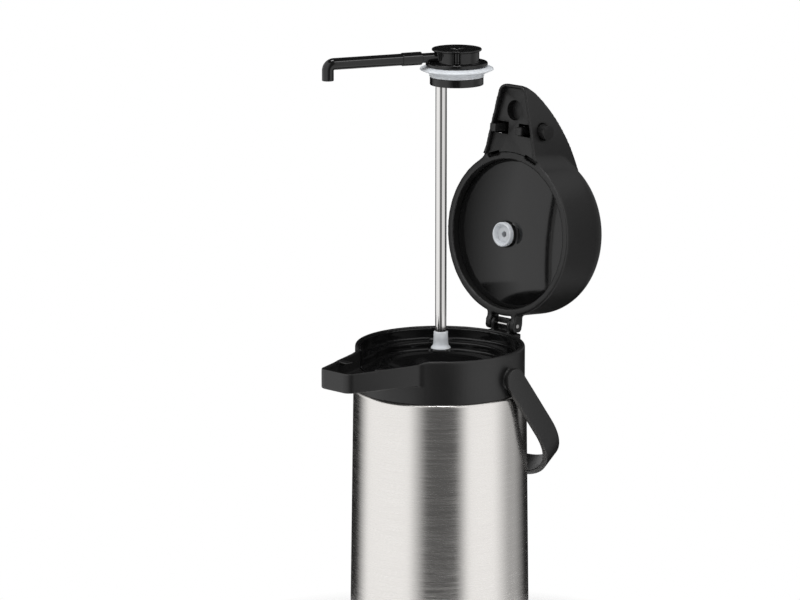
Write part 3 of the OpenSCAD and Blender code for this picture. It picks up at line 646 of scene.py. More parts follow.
@dataclass(frozen=True)
class Jug:
    """Steel double-walled body on its base cup.

    Args:
        foot_r: Radius of the jacket at its foot.
        top_r: Radius of the jacket at its shoulder.
        foot_z: Height of the jacket's foot.
        shoulder_z: Height of the jacket's shoulder.
        mouth_z: Height of the steel mouth.
        round_r: Radius of the shoulder's edge.
        wall: Thickness of the jacket sheet.
        neck_r: Outer radius of the jacket's neck.
        base_r: Radius of the base cup.
        base_h: Height of the base cup.
        base_bore: Bore of the base cup round the jacket's foot.
        base_seat: Inner radius of the ledge that the jacket stands on.
        base_floor: Height of the base cup's inner floor.
        pad_r: Radius of the recess for the grip pad.
        pad_z: Height of that recess.
        base_edge: Radius of the base cup's edges.
    """

    foot_r: float = 82.0
    top_r: float = 78.3
    foot_z: float = 4.0
    shoulder_z: float = 260.0
    mouth_z: float = 269.0
    round_r: float = 2.5
    wall: float = 1.0
    neck_r: float = 28.1
    base_r: float = 84.1
    base_h: float = 12.0
    base_bore: float = 82.1
    base_seat: float = 72.0
    base_floor: float = 3.0
    pad_r: float = 74.1
    pad_z: float = 1.6
    base_edge: float = 1.0

    def jacket(self) -> bpy.types.Object:
        """Turns the jacket with its rounded shoulder and neck.

        Returns:
            The jacket.
        """
        r = self.round_r
        inner = r - self.wall
        cx = self.top_r - r
        cz = self.shoulder_z - r
        profile = [(self.foot_r, self.foot_z)]
        lean = self.top_r - self.foot_r
        rise = cz - self.foot_z
        profile += [(self.foot_r + lean * t, self.foot_z + rise * t) for t in (0.25, 0.5, 0.75)]
        profile += arc(cx, cz, r, 0.0, 90.0, 8)
        bore = self.neck_r - self.wall
        profile += [(self.neck_r, self.shoulder_z), (self.neck_r, self.mouth_z)]
        profile += [(bore, self.mouth_z), (bore, self.shoulder_z - self.wall)]
        profile += arc(cx, cz, inner, 90.0, 0.0, 5)
        profile += [(self.foot_r - self.wall, self.foot_z)]
        piece = Bench.turned("steel_jacket", profile, 192)
        Bench.smooth(piece)
        return piece

    def base(self) -> bpy.types.Object:
        """Turns the base cup with its recess for the grip pad.

        Returns:
            The base cup.
        """
        edge = self.base_edge
        rim = self.base_r - edge
        profile = [(0.0, self.pad_z), (self.pad_r, self.pad_z), (self.pad_r, edge)]
        profile += arc(rim, 2.0 * edge, edge, -90.0, 0.0, 4)
        profile += arc(rim, self.base_h - edge, edge, 0.0, 90.0, 4)
        profile += [(self.base_bore, self.base_h), (self.base_bore, self.foot_z)]
        profile += [(self.base_seat, self.foot_z), (self.base_seat, self.base_floor), (0.0, self.base_floor)]
        piece = Bench.turned("standing_base_cup", profile, 160)
        Bench.smooth(piece)
        return piece

    def build(self, palette: Palette) -> None:
        """Builds and dresses the body.

        Args:
            palette: Finishes of the jug.
        """
        Bench.settle(self.jacket(), Body.JUG, Slot.JACKET_STEEL, palette, "outer_shell")
        Bench.settle(self.base(), Body.JUG, Slot.MATTE_BLACK, palette, "base_cup")
        for node in ("inner_liner", "shell_bottom", "vacuum_getter"):
            Bench.dress_node(node, Slot.INNER_STEEL, palette)
        Bench.dress_node("grip_pad", Slot.BLACK_RUBBER, palette)
        Bench.dress_node("neck_seal", Slot.PALE_SILICONE, palette)


@dataclass(frozen=True)
class Collar:
    """Collar with its spout, funnel and hinge bracket.

    Args:
        cell: Mesh cell of the collar.
        rounds: Rounds of smoothing on the collar.
        funnel_cell: Mesh cell of the funnel.
        funnel_rounds: Rounds of smoothing on the funnel.
    """

    cell: float = 0.85
    rounds: int = 4
    funnel_cell: float = 0.85
    funnel_rounds: int = 4

    def build(self, palette: Palette) -> None:
        """Builds and dresses the collar's pieces.

        Args:
            palette: Finishes of the jug.
        """
        collar = Bench.copy_of("collar", "moulded_collar")
        Bench.remeshed(collar, self.cell, self.rounds)
        Bench.settle(collar, Body.JUG, Slot.MATTE_BLACK, palette, "collar")
        funnel = Bench.copy_of("collar_funnel", "stepped_funnel")
        Bench.remeshed(funnel, self.funnel_cell, self.funnel_rounds)
        Bench.settle(funnel, Body.JUG, Slot.GLOSS_BLACK, palette, "collar_funnel")
        for node in ("hinge_pin", "handle_studs"):
            Bench.dress_node(node, Slot.INNER_STEEL, palette)


@dataclass(frozen=True)
class CarryHandle:
    """Strap handle on its two pivots.

    Args:
        edge: Width of the rounding on the strap's edges.
    """

    edge: float = 1.5

    def build(self, palette: Palette) -> None:
        """Builds and dresses the handle.

        Args:
            palette: Finishes of the jug.
        """
        strap = Bench.copy_of("handle", "strap_handle")
        Bench.bevelled(strap, self.edge, 4)
        Bench.settle(strap, Body.HANDLE, Slot.MATTE_BLACK, palette, "handle")


@dataclass(frozen=True)
class Lid:
    """Pump lid, modelled closed and swung open on its hinge.

    Args:
        rim_z: Height of the closed lid's rim.
        hinge_y: Distance of the hinge axis behind the jug's axis.
        hinge_z: Height of the hinge axis.
        opening: Angle that the lid is swung open, in degrees.
        bore: Radius of the rim's bore.
        plate_low: Height of the pump base's edge above the rim.
        plate_top: Height of the pump base's top above the rim.
        sag: Depth of the pump base's belly.
        boss_r: Radius of the pump base's boss.
        boss_low: Height of the boss's end above the rim.
        push_r: Radius of the push plate.
        push_top: Height of the push plate above the rim.
        push_t: Thickness of the push plate.
        skirt_t: Thickness of the push plate's skirt.
        skirt_h: Height of the push plate's skirt.
        air_r: Radius of the push plate's air hole.
        travel: Travel of the push plate; not used.
        bellows_r: Outer radius of the bellows.
        bellows_t: Thickness of the bellows' wall.
        fold: Depth of a fold.
        folds: Folds of the bellows.
        play: Room between the bellows and the push plate.
        cell: Mesh cell of the lid's shell.
        rounds: Rounds of smoothing on the shell.
        cover_edge: Width of the rounding on the nose cover's edges.
    """

    rim_z: float = 300.8
    hinge_y: float = 83.0
    hinge_z: float = 305.0
    opening: float = 95.0
    bore: float = 68.4
    plate_low: float = 7.5
    plate_top: float = 10.0
    sag: float = 5.5
    boss_r: float = 11.5
    boss_low: float = -2.0
    push_r: float = 46.5
    push_top: float = 64.0
    push_t: float = 4.0
    skirt_t: float = 2.5
    skirt_h: float = 28.0
    air_r: float = 2.2
    travel: float = 25.0
    bellows_r: float = 40.0
    bellows_t: float = 1.6
    fold: float = 7.0
    folds: int = 6
    play: float = 0.3
    cell: float = 0.95
    rounds: int = 5
    cover_edge: float = 0.4

    def swing(self) -> Matrix:
        """Gives the move from a piece turned on the rim to its place in the open lid.

        Returns:
            The place of the closed lid's rim centre after the swing.
        """
        hinge = Vector((0.0, self.hinge_y, self.hinge_z)) * MM
        lift = Matrix.Translation((0.0, 0.0, self.rim_z * MM))
        turn = Matrix.Rotation(math.radians(-self.opening), 4, "X")
        return Matrix.Translation(hinge) @ turn @ Matrix.Translation(-hinge) @ lift

    def plate(self) -> bpy.types.Object:
        """Turns the bellied pump base with its boss.

        Returns:
            The pump base.
        """
        belly = [(r, self.plate_low - self.sag * (1.0 - (r / self.bore) ** 2)) for r in range(14, 68, 3)]
        profile = [(3.7, self.plate_top), (3.7, self.boss_low)]
        profile += arc(self.boss_r - 0.6, self.boss_low + 0.6, 0.6, -90.0, 0.0, 4)
        profile += [(self.boss_r, 1.2)] + arc(self.boss_r + 0.9, 1.25, 0.9, 180.0, 110.0, 4)
        profile += belly + arc(self.bore - 0.5, self.plate_low + 0.5, 0.5, -80.0, 0.0, 3)
        profile += [(self.bore, self.plate_top)]
        return Bench.fitted("pump_plate", profile, 160, self.swing())

    def nozzle(self) -> bpy.types.Object:
        """Turns the soft nozzle seal under the boss.

        Returns:
            The nozzle seal.
        """
        low = self.boss_low - 5.0
        profile = [(2.8, low + 11.0), (2.8, low + 4.0), (7.2, low + 3.8), (9.2, low + 0.4), (9.8, low)]
        profile += arc(10.2, low + 1.0, 1.0, -90.0, 0.0, 4)
        profile += [(11.2, low + 4.6), (10.9, low + 5.0), (3.6, low + 5.0), (3.6, low + 11.0)]
        return Bench.fitted("soft_nozzle_seal", profile, 96, self.swing())

    def push(self) -> bpy.types.Object:
        """Turns the push plate with its skirt and groove.

        Returns:
            The push plate.
        """
        r = self.push_r
        top = self.push_top
        inner = r - self.skirt_t
        under = top - self.push_t
        skirt = top - self.skirt_h
        profile = [(0.0, top - 0.8), (20.0, top - 0.6), (r - 10.2, top)]
        profile += [(r - 9.9, top - 1.2), (r - 8.6, top - 1.2), (r - 8.3, top)]
        profile += arc(r - 2.0, top - 2.0, 2.0, 90.0, 0.0, 6)
        profile += [(r, skirt), (inner, skirt), (inner, under)]
        profile += [(self.air_r, under), (self.air_r, top - 1.5), (0.0, top - 1.5)]
        return Bench.fitted("thumb_push_plate", profile, 144, self.swing())

    def bellows_height(self) -> float:
        """Gives the height of the bellows under the push plate.

        Returns:
            The height, from the pump base up.
        """
        return self.push_top - self.push_t - self.play - self.plate_top

    def bellows(self) -> bpy.types.Object:
        """Turns the folded bellows between the pump base and the push plate.

        Returns:
            The bellows.
        """
        height = self.bellows_height()
        pitch = height / self.folds
        valley = self.bellows_r - self.fold
        ridge = self.bellows_r - 0.8
        outer: Profile = []
        for i in range(self.folds):
            low = self.plate_top + i * pitch
            outer += [(valley, low), (ridge, low + 0.42 * pitch)]
            outer += [(self.bellows_r, low + 0.5 * pitch), (ridge, low + 0.58 * pitch)]
        outer += [(valley, self.plate_top + height)]
        profile = outer + [(r - self.bellows_t, z) for r, z in reversed(outer)]
        return Bench.fitted("pump_bellows", profile, 96, self.swing(), 60.0)

    def build(self, palette: Palette) -> None:
        """Builds and dresses the lid's pieces.

        Args:
            palette: Finishes of the jug.
        """
        housing = Bench.copy_of("lid_housing", "lid_shell")
        Bench.remeshed(housing, self.cell, self.rounds)
        Bench.settle(housing, Body.LID, Slot.MATTE_BLACK, palette, "lid_housing")
        cover = Bench.copy_of("nose_cover", "nose_underside_cover")
        Bench.bevelled(cover, self.cover_edge)
        Bench.settle(cover, Body.LID, Slot.MATTE_BLACK, palette, "nose_cover")
        Bench.settle(self.plate(), Body.LID, Slot.GLOSS_BLACK, palette, "pump_base")
        Bench.settle(self.nozzle(), Body.LID, Slot.PALE_SILICONE, palette, "nozzle_seal")
        Bench.settle(self.push(), Body.PUMP, Slot.MATTE_BLACK, palette, "push_plate")
        bellows = self.bellows()
        Bench.settle(bellows, Body.LID, Slot.BLACK_RUBBER, palette, "bellows")
        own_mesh(bellows)
        spring = Bench.copy_of("return_spring", "coil_return_spring")
        Bench.smooth(spring, 70.0)
        Bench.settle(spring, Body.LID, Slot.INNER_STEEL, palette, "return_spring")
        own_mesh(spring)
        Bench.dress_node("bellows_ring", Slot.MATTE_BLACK, palette)
        Bench.dress_node("inlet_valve", Slot.BLACK_RUBBER, palette)
        Bench.dress_node("latch_spring", Slot.INNER_STEEL, palette)


@dataclass(frozen=True)
class ReleaseButtons:
    """The two release buttons on the nose with their hooks.

    Args:
        edge: Width of the rounding on the buttons' edges.
    """

    edge: float = 0.6

    def build(self, palette: Palette) -> None:
        """Builds and dresses the buttons.

        Args:
            palette: Finishes of the jug.
        """
        for node, name, body in (
            ("latch_button_left", "left_release_button", Body.LEFT_BUTTON),
            ("latch_button_right", "right_release_button", Body.RIGHT_BUTTON),
        ):
            button = Bench.copy_of(node, name)
            Bench.bevelled(button, self.edge)
            Bench.settle(button, body, Slot.MATTE_BLACK, palette, node)


@dataclass(frozen=True)
class Siphon:
    """Stopper with its gasket, dip tube and outlet pipe, drawn up and turned.

    Args:
        drift_x: Sideways drift of the stopper's axis.
        drift_y: Drift of the stopper's axis towards the hinge.
        seat_z: Height of the drawn flange's underside.
        turn: Angle that the siphon is turned, in degrees.
        tube_off: Offset of the dip tube from the stopper's axis.
        tube_r: Radius of the dip tube.
        tube_t: Thickness of the dip tube's wall.
        tube_in: Length of the dip tube inside its foot.
        foot_z: Height of the tube foot's end from the flange.
        foot_h: Height of the tube foot.
        pipe_z: Height of the outlet pipe's axis above the flange's underside.
        pipe_r: Radius of the outlet pipe.
        pipe_t: Thickness of the outlet pipe's wall.
        spigot_r: Radius of the pipe's spigot inside the sleeve.
        spigot_len: Length of that spigot.
        gap: Gap between the sleeve and the pipe's end.
        end_r: Radius of the pipe's end at the sleeve.
        end_edge: Width of the edge at that end.
        rim_edge: Width of the rounding on the pipe's rims.
        pipe_reach: Distance of the pipe's turned-down end from the stopper's axis.
        pipe_drop: Length of the turned-down end.
        elbow_r: Radius of the pipe's elbow.
        sleeve_start: Distance of the sleeve from the stopper's axis.
        sleeve_len: Length of the sleeve.
        cap_z: Height of the cap's underside.
        cap_r: Radius of the cap.
        cell: Mesh cell of the stopper.
        rounds: Rounds of smoothing on the stopper.
    """

    drift_x: float = 5.0
    drift_y: float = 15.5
    seat_z: float = 552.0
    turn: float = 22.0
    tube_off: float = 15.0
    tube_r: float = 5.1
    tube_t: float = 0.6
    tube_in: float = 10.0
    foot_z: float = -257.0
    foot_h: float = 15.6
    pipe_z: float = 8.5
    pipe_r: float = 5.25
    pipe_t: float = 1.4
    spigot_r: float = 4.4
    spigot_len: float = 9.0
    gap: float = 0.1
    end_r: float = 5.0
    end_edge: float = 0.25
    rim_edge: float = 0.35
    pipe_reach: float = 124.0
    pipe_drop: float = 14.6
    elbow_r: float = 5.6
    sleeve_start: float = 34.7
    sleeve_len: float = 18.6
    cap_z: float = 13.5
    cap_r: float = 22.3
    cell: float = 0.42
    rounds: int = 3

    def drawn(self) -> Matrix:
        """Gives the move from a piece on the seat's own axis to its place in the drawn siphon.

        Returns:
            The place of the stopper's axis.
        """
        lift = Matrix.Translation(Vector((self.drift_x, self.drift_y, self.seat_z)) * MM)
        return lift @ Matrix.Rotation(math.radians(-self.turn), 4, "Z")

    def on_tube(self) -> Matrix:
        """Gives the place of the dip tube's axis.

        Returns:
            The place of a piece turned on the tube's axis.
        """
        return self.drawn() @ Matrix.Translation((0.0, -self.tube_off * MM, 0.0))

    def on_pipe(self) -> Matrix:
        """Gives the place of the outlet pipe's axis, with Z pointing out along the pipe.

        Returns:
            The place of a piece turned on the pipe's axis.
        """
        level = Matrix.Translation((0.0, 0.0, self.pipe_z * MM))
        return self.drawn() @ level @ Matrix.Rotation(math.radians(90.0), 4, "X")

    def cap(self) -> bpy.types.Object:
        """Turns the stopper's cap with its socket.

        Returns:
            The cap.
        """
        z = self.cap_z
        r = self.cap_r
        profile = [(3.5, z), (r - 0.5, z), (r, z + 0.5)] + arc(r - 0.8, z + 1.2, 0.8, 0.0, 90.0, 4)
        profile += [(14.0, z + 1.95), (7.4, z + 1.7), (6.5, z + 2.0), (6.3, z + 2.4)]
        profile += [(6.0, z + 2.8), (4.4, z + 2.8), (3.5, z + 2.2)]
        return Bench.fitted("stopper_top_cap", profile, 112, self.drawn())

    def gasket(self) -> bpy.types.Object:
        """Turns the lip gasket.

        Returns:
            The gasket.
        """
        profile = [(22.1, -9.7), (24.1, -9.7), (24.5, -9.3), (24.5, -7.1)]
        profile += [(25.0, -6.8), (29.0, -5.1), (32.9, -3.4), (33.0, -2.8)]
        profile += [(32.7, -2.3), (31.0, -1.5), (29.0, -0.75), (27.6, -0.4), (22.1, -0.4)]
        return Bench.fitted("lip_gasket", profile, 144, self.drawn(), 50.0)

    def tube(self) -> bpy.types.Object:
        """Turns the dip tube.

        Returns:
            The tube.
        """
        low = self.foot_z + self.foot_h - self.tube_in
        r = self.tube_r
        bore = r - self.tube_t
        profile = [(r, low), (r, low + 80.0), (r, low + 160.0), (r, 1.7)]
        profile += [(r - 0.3, 2.0), (bore, 1.8), (bore, low)]
        return Bench.fitted("steel_dip_tube", profile, 72, self.on_tube())

    def foot(self) -> bpy.types.Object:
        """Turns the flared foot of the dip tube.

        Returns:
            The foot.
        """
        z = self.foot_z
        top = z + self.foot_h
        profile = [(4.5, z), (8.5, z), (8.9, z + 0.3), (8.9, z + 0.9), (8.0, z + 1.9)]
        profile += [(7.2, z + 3.0), (6.75, z + 4.4), (6.6, z + 8.0), (6.35, top - 0.4)]
        profile += [(6.0, top), (5.2, top), (5.2, z + 5.6), (4.5, z + 5.6)]
        return Bench.fitted("flared_tube_foot", profile, 72, self.on_tube(), 50.0)

    def sleeve(self) -> bpy.types.Object:
        """Turns the sleeve that joins the pipe to the stopper.

        Returns:
            The sleeve.
        """
        a = self.sleeve_start
        b = a + self.sleeve_len
        profile = [(4.5, a), (5.5, a), (5.9, a + 0.4), (5.9, b - 0.5), (5.5, b), (4.5, b)]
        return Bench.fitted("pipe_joint_sleeve", profile, 64, self.on_pipe())

    def pipe(self) -> bpy.types.Object:
        """Draws the outlet pipe from a ring, with a spun elbow and a turned-down end.

        Returns:
            The pipe.
        """
        start = self.sleeve_start + self.sleeve_len
        bend = (self.pipe_reach - self.elbow_r) * MM
        Bench.clear()
        bpy.ops.mesh.primitive_circle_add(
            vertices=64,
            radius=self.spigot_r * MM,
            location=(0.0, -(start - self.spigot_len) * MM, 0.0),
            rotation=(math.radians(90.0), 0.0, 0.0),
        )
        piece = bpy.context.active_object
        piece.name = "bent_outlet_pipe"
        piece.data.name = "bent_outlet_pipe"
        bpy.ops.object.transform_apply(location=True, rotation=True, scale=True)
        bpy.ops.object.mode_set(mode="EDIT")
        bpy.ops.mesh.select_all(action="SELECT")
        drawn_out = bpy.ops.mesh.extrude_region_move
        drawn_out(TRANSFORM_OT_translate={"value": (0.0, -(self.spigot_len + self.gap) * MM, 0.0)})
        for grow, step in ((self.end_r / self.spigot_r, 0.0), (self.pipe_r / self.end_r, self.end_edge)):
            drawn_out(TRANSFORM_OT_translate={"value": (0.0, -step * MM, 0.0)})
            bpy.ops.transform.resize(value=(grow, 1.0, grow), center_override=(0.0, 0.0, 0.0))
        straight = (start + self.gap + self.end_edge) * MM - bend
        drawn_out(TRANSFORM_OT_translate={"value": (0.0, straight, 0.0)})
        centre = (0.0, -bend, -self.elbow_r * MM)
        bpy.ops.mesh.spin(steps=16, angle=math.radians(-90.0), center=centre, axis=(1.0, 0.0, 0.0))
        drop = (self.pipe_drop - self.elbow_r) * MM
        drawn_out(TRANSFORM_OT_translate={"value": (0.0, 0.0, -drop)})
        bpy.ops.mesh.select_all(action="SELECT")
        bpy.ops.mesh.remove_doubles(threshold=MERGE)
        bpy.ops.mesh.normals_make_consistent(inside=False)
        bpy.ops.object.mode_set(mode="OBJECT")
        wall = piece.modifiers.new("wall", "SOLIDIFY")
        wall.thickness = self.pipe_t * MM
        wall.offset = -1.0
        rim = piece.modifiers.new("rim", "BEVEL")
        rim.width = self.rim_edge * MM
        rim.segments = 2
        rim.limit_method = "ANGLE"
        rim.angle_limit = math.radians(50.0)
        Bench.apply(piece)
        Bench.smooth(piece)
        Bench.placed(piece, self.drawn() @ Matrix.Translation((0.0, 0.0, self.pipe_z * MM)))
        return piece

    def build(self, palette: Palette) -> None:
        """Builds and dresses the siphon's pieces.

        Args:
            palette: Finishes of the jug.
        """
        stopper = Bench.copy_of("stopper_body", "stopper_moulding")
        Bench.remeshed(stopper, self.cell, self.rounds)
        Bench.settle(stopper, Body.SIPHON, Slot.GLOSS_BLACK, palette, "stopper_body")
        Bench.settle(self.cap(), Body.SIPHON, Slot.GLOSS_BLACK, palette, "stopper_cap")
        Bench.settle(self.gasket(), Body.GASKET, Slot.PALE_SILICONE, palette, "stopper_gasket")
        Bench.settle(self.tube(), Body.SIPHON, Slot.INNER_STEEL, palette, "dip_tube")
        Bench.settle(self.foot(), Body.SIPHON, Slot.PALE_SILICONE, palette, "tube_foot")
        Bench.settle(self.sleeve(), Body.SIPHON, Slot.GLOSS_BLACK, palette, "pipe_sleeve")
        Bench.settle(self.pipe(), Body.SIPHON, Slot.GLOSS_BLACK, palette, "outlet_pipe")
        Bench.dress_node("air_valve", Slot.PALE_SILICONE, palette)
        Bench.dress_node("tube_seal", Slot.BLACK_RUBBER, palette)


@dataclass(frozen=True)
class Lamp:
    """A soft square studio lamp.

    Args:
        name: Name of the lamp.
        side: Place to the camera's right, in metres.
        front: Place towards the camera, in metres.
        up: Height, in metres.
        size: Side of the lamp, in metres.
        power: Power in watts.
    """

    name: str
    side: float
    front: float
    up: float
    size: float
    power: float


@dataclass(frozen=True)
class Panel:
    """A panel of the studio tent, blended into its neighbours.

    Args:
        start: Azimuth of its left edge, to the camera's right, in degrees.
        end: Azimuth of its right edge, in degrees.
        shade: Linear brightness of the panel.
    """

    start: float
    end: float
    shade: float


@dataclass(frozen=True)
class TentWall:
    """A round wall of the studio tent.

    Args:
        name: Name of the wall.
        low: Height of its lower edge in metres.
        high: Height of its upper edge in metres.
        panels: Its panels.
    """

    name: str
    low: float
    high: float
    panels: tuple[Panel, ...]


@dataclass(frozen=True)
class Studio:
    """Floor, light, studio tent and camera.

    Args:
        target: Point that the camera looks at, in metres.
        sight: Direction from that point to the camera.
        distance: Distance of the camera in metres.
        lens: Focal length in millimetres on a 36 mm sensor.
        floor: Linear grey of the floor.
        ambient: Strength of the surrounding light.
        lamps: Studio lamps.
        tent_radius: Radius of the studio tent in metres.
        walls: Walls of the tent.
        roof_height: Height of the dark ceiling in metres.
        roof_shade: Linear brightness of the ceiling.
        white_from: Distance from the jug beyond which the camera sees the floor as white, in metres.
    """

    target: Triple = (-0.0255, -0.0255, 0.3396)
    sight: Triple = (0.6917, -0.6917, 0.2079)
    distance: float = 4.05
    lens: float = 202.5
    floor: float = 0.9
    ambient: float = 0.55
    lamps: tuple[Lamp, ...] = (
        Lamp("key_softbox", -1.3, 1.1, 2.0, 1.2, 21.0),
        Lamp("fill_softbox", 1.4, 0.9, 1.9, 1.0, 12.0),
        Lamp("top_softbox", 0.0, 0.1, 2.2, 0.5, 7.0),
    )
    tent_radius: float = 0.24
    walls: tuple[TentWall, ...] = (
        TentWall("lower_tent", 0.0, 0.275, (
            Panel(-93.0, -35.0, 1.0),
            Panel(-15.0, 17.0, 0.1),
            Panel(31.5, 63.0, 1.0),
            Panel(86.0, 99.0, 0.42),
            Panel(124.0, 154.0, 0.01),
            Panel(172.0, 190.0, 0.9),
            Panel(208.0, 242.0, 0.01),
        )),
        TentWall("upper_tent", 0.275, 0.5, (
            Panel(-102.0, -38.0, 1.0),
            Panel(-12.0, 12.0, 0.1),
            Panel(24.0, 70.0, 0.85),
            Panel(95.0, 135.0, 0.2),
            Panel(150.0, 226.0, 0.01),
        )),
        TentWall("crown_tent", 0.5, 0.8, (
            Panel(-102.0, -38.0, 1.0),
            Panel(-12.0, 12.0, 0.1),
            Panel(24.0, 70.0, 0.85),
            Panel(82.0, 118.0, 0.5),
            Panel(150.0, 226.0, 0.01),
        )),
    )
    roof_height: float = 2.6
    roof_shade: float = 0.06
    white_from: float = 0.26

    def axes(self) -> tuple[Vector, Vector]:
        """Gives the camera's right and the level direction towards it.

        Returns:
            Both directions.
        """
        front = Vector((self.sight[0], self.sight[1], 0.0)).normalized()
        return Vector((-front.y, front.x, 0.0)), front

    def plain(self, name: str, grey: float) -> bpy.types.Material:
        """Makes a plain stage material.

        Args:
            name: Name of the material.
            grey: Linear grey.

        Returns:
            The material.
        """
        made = bpy.data.materials.new(name)
        made.use_nodes = True
        shader = Finish.shader(made.node_tree)
        shader.inputs["Base Color"].default_value = (grey, grey, grey, 1.0)
        shader.inputs["Roughness"].default_value = 0.9
        shader.inputs["Specular IOR Level"].default_value = 0.0
        return made

    def lay_floor(self) -> None:
        """Lays the pale floor."""
        Bench.clear()
        bpy.ops.mesh.primitive_plane_add(size=30.0, location=(0.0, 0.0, 0.0))
        floor = bpy.context.active_object
        floor.name = "pale_floor"
        floor.data.materials.append(self.floor_paint())

    def floor_paint(self) -> bpy.types.Material:
        """Makes the floor's paint, which the camera sees fade to plain white away from the jug.

        Returns:
            The material.
        """
        made = self.plain("pale_floor_paint", self.floor)
        tree = made.node_tree
        place = tree.nodes.new("ShaderNodeTexCoord")
        away = tree.nodes.new("ShaderNodeVectorMath")
        away.operation = "LENGTH"
        fade = tree.nodes.new("ShaderNodeMapRange")
        fade.inputs["From Min"].default_value = self.white_from - 0.06
        fade.inputs["From Max"].default_value = self.white_from
        both = tree.nodes.new("ShaderNodeMath")
        both.operation = "MULTIPLY"
        white = tree.nodes.new("ShaderNodeEmission")
        mix = tree.nodes.new("ShaderNodeMixShader")
        out = next(node for node in tree.nodes if node.type == "OUTPUT_MATERIAL")
        tree.links.new(place.outputs["Object"], away.inputs[0])
        tree.links.new(away.outputs["Value"], fade.inputs["Value"])
        tree.links.new(fade.outputs["Result"], both.inputs[0])
        tree.links.new(self.seen_rays(tree), both.inputs[1])
        tree.links.new(both.outputs[0], mix.inputs[0])
        tree.links.new(Finish.shader(tree).outputs[0], mix.inputs[1])
        tree.links.new(white.outputs[0], mix.inputs[2])
        tree.links.new(mix.outputs[0], out.inputs["Surface"])
        return made

    @staticmethod
    def seen_rays(tree: bpy.types.NodeTree) -> Socket:
        """Tells the rays that show the surroundings from those that only light.

        Args:
            tree: Node tree of a stage material or the world.

        Returns:
            A socket that is 1 for rays of the camera, of mirrors and of clear pieces.
        """
        rays = tree.nodes.new("ShaderNodeLightPath")
        first = tree.nodes.new("ShaderNodeMath")
        first.operation = "MAXIMUM"
        second = tree.nodes.new("ShaderNodeMath")
        second.operation = "MAXIMUM"
        tree.links.new(rays.outputs["Is Camera Ray"], first.inputs[0])
        tree.links.new(rays.outputs["Is Glossy Ray"], first.inputs[1])
        tree.links.new(first.outputs[0], second.inputs[0])
        tree.links.new(rays.outputs["Is Transmission Ray"], second.inputs[1])
        return second.outputs[0]

    @staticmethod
    def glow(name: str) -> tuple[bpy.types.Material, Socket]:
        """Makes an evenly bright material.

        Args:
            name: Name of the material.

        Returns:
            The material and its colour socket.
        """
        made = bpy.data.materials.new(name)
        made.use_nodes = True
        tree = made.node_tree
        tree.nodes.clear()
        light = tree.nodes.new("ShaderNodeEmission")
        out = tree.nodes.new("ShaderNodeOutputMaterial")
        tree.links.new(light.outputs[0], out.inputs["Surface"])
        return made, light.inputs["Color"]

    @staticmethod
    def mirrored_only(made: bpy.types.Object, paint: bpy.types.Material) -> None:
        """Paints a stage piece and hides it from all but mirrored light.

        Args:
            made: The stage piece.
            paint: Its material.
        """
        made.data.materials.append(paint)
        made.visible_camera = False
        made.visible_diffuse = False
        made.visible_shadow = False

    def tent_cloth(self, wall: TentWall) -> bpy.types.Material:
        """Makes a wall's cloth, whose panels blend into each other round the jug.

        Args:
            wall: Wall of the tent.

        Returns:
            The material.
        """
        made, color = self.glow(wall.name + "_cloth")
        tree = made.node_tree
        place = tree.nodes.new("ShaderNodeTexCoord")
        around = tree.nodes.new("ShaderNodeTexGradient")
        around.gradient_type = "RADIAL"
        ramp = tree.nodes.new("ShaderNodeValToRGB")
        front = math.degrees(math.atan2(self.sight[1], self.sight[0]))
        edges = [(edge, panel.shade) for panel in wall.panels for edge in (panel.start, panel.end)]
        stops = sorted((((front + edge) / 360.0 + 0.5) % 1.0, shade) for edge, shade in edges)
        while len(ramp.color_ramp.elements) < len(stops):
            ramp.color_ramp.elements.new(0.5)
        for element, (place_at, shade) in zip(ramp.color_ramp.elements, stops):
            element.position = place_at
            element.color = (shade, shade, shade, 1.0)
        tree.links.new(place.outputs["Object"], around.inputs["Vector"])
        tree.links.new(around.outputs["Fac"], ramp.inputs["Fac"])
        tree.links.new(ramp.outputs["Color"], color)
        return made

    def stand_tent(self) -> None:
        """Stands the tent round the jug, seen by mirrored light only."""
        for wall in self.walls:
            Bench.clear()
            bpy.ops.mesh.primitive_cylinder_add(
                vertices=128, radius=self.tent_radius, depth=wall.high - wall.low, end_fill_type="NOTHING",
                location=(0.0, 0.0, (wall.low + wall.high) / 2.0),
            )
            tent = bpy.context.active_object
            tent.name = wall.name
            bpy.ops.object.transform_apply(location=True, rotation=True, scale=True)
            self.mirrored_only(tent, self.tent_cloth(wall))

    def hang_roof(self) -> None:
        """Hangs the dark ceiling that upward faces mirror."""
        Bench.clear()
        bpy.ops.mesh.primitive_plane_add(size=6.0, location=(0.0, 0.0, self.roof_height))
        roof = bpy.context.active_object
        roof.name = "dark_ceiling"
        paint, color = self.glow("ceiling_cloth")
        color.default_value = (self.roof_shade, self.roof_shade, self.roof_shade, 1.0)
        self.mirrored_only(roof, paint)

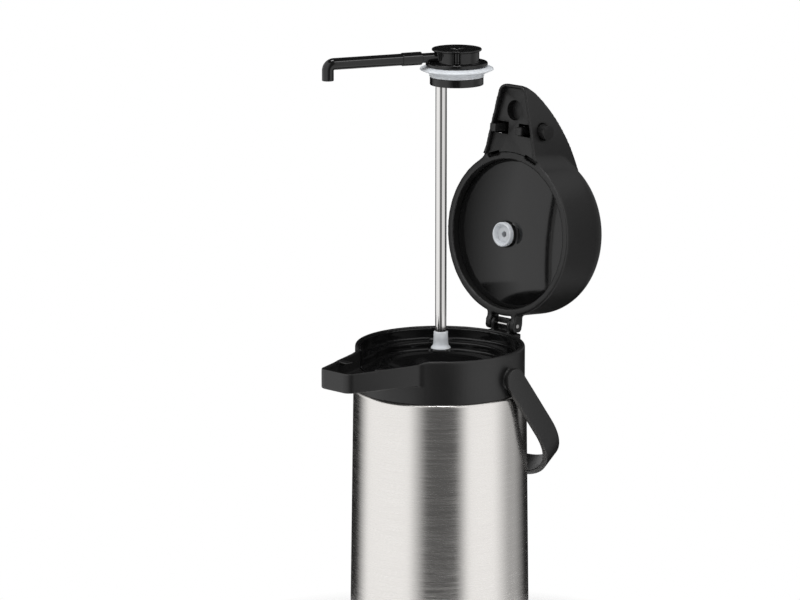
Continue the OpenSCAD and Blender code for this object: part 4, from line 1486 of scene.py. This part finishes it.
    def hang_lamps(self) -> None:
        """Hangs the soft lamps and turns them to the jug."""
        right, front = self.axes()
        aim = Vector(self.target)
        for lamp in self.lamps:
            place = right * lamp.side + front * lamp.front + Vector((0.0, 0.0, lamp.up))
            bpy.ops.object.light_add(type="AREA", location=place)
            made = bpy.context.active_object
            made.name = lamp.name
            made.data.energy = lamp.power
            made.data.shape = "SQUARE"
            made.data.size = lamp.size
            made.rotation_euler = (aim - place).to_track_quat("-Z", "Y").to_euler()

    def paint_world(self) -> None:
        """Paints the world white for the camera and mirrors, and softly bright for the rest."""
        world = bpy.data.worlds.new("studio")
        bpy.context.scene.world = world
        world.use_nodes = True
        tree = world.node_tree
        tree.nodes.clear()
        seen = tree.nodes.new("ShaderNodeBackground")
        felt = tree.nodes.new("ShaderNodeBackground")
        mix = tree.nodes.new("ShaderNodeMixShader")
        out = tree.nodes.new("ShaderNodeOutputWorld")
        seen.inputs["Color"].default_value = WHITE
        felt.inputs["Color"].default_value = WHITE
        felt.inputs["Strength"].default_value = self.ambient
        tree.links.new(self.seen_rays(tree), mix.inputs[0])
        tree.links.new(felt.outputs[0], mix.inputs[1])
        tree.links.new(seen.outputs[0], mix.inputs[2])
        tree.links.new(mix.outputs[0], out.inputs["Surface"])

    def aim_camera(self) -> None:
        """Sets the camera at the photograph's angle."""
        target = Vector(self.target)
        place = target + Vector(self.sight).normalized() * self.distance
        bpy.ops.object.camera_add(location=place)
        camera = bpy.context.active_object
        camera.name = "photo_camera"
        camera.data.sensor_width = 36.0
        camera.data.lens = self.lens
        camera.data.clip_end = 50.0
        camera.rotation_euler = (target - place).to_track_quat("-Z", "Y").to_euler()
        bpy.context.scene.camera = camera

    def build(self) -> None:
        """Sets the whole studio."""
        self.lay_floor()
        self.stand_tent()
        self.hang_roof()
        self.hang_lamps()
        self.paint_world()
        self.aim_camera()
        bpy.context.scene.view_settings.view_transform = "Standard"


def main() -> None:
    """Builds the jug's pieces in order, then the studio."""
    logging.basicConfig(level=logging.INFO, format="%(name)s: %(message)s")
    palette = Palette()
    for part in (Jug(), Collar(), CarryHandle(), Lid(), ReleaseButtons(), Siphon()):
        part.build(palette)
    Studio().build()


if __name__ == "__main__":
    main()
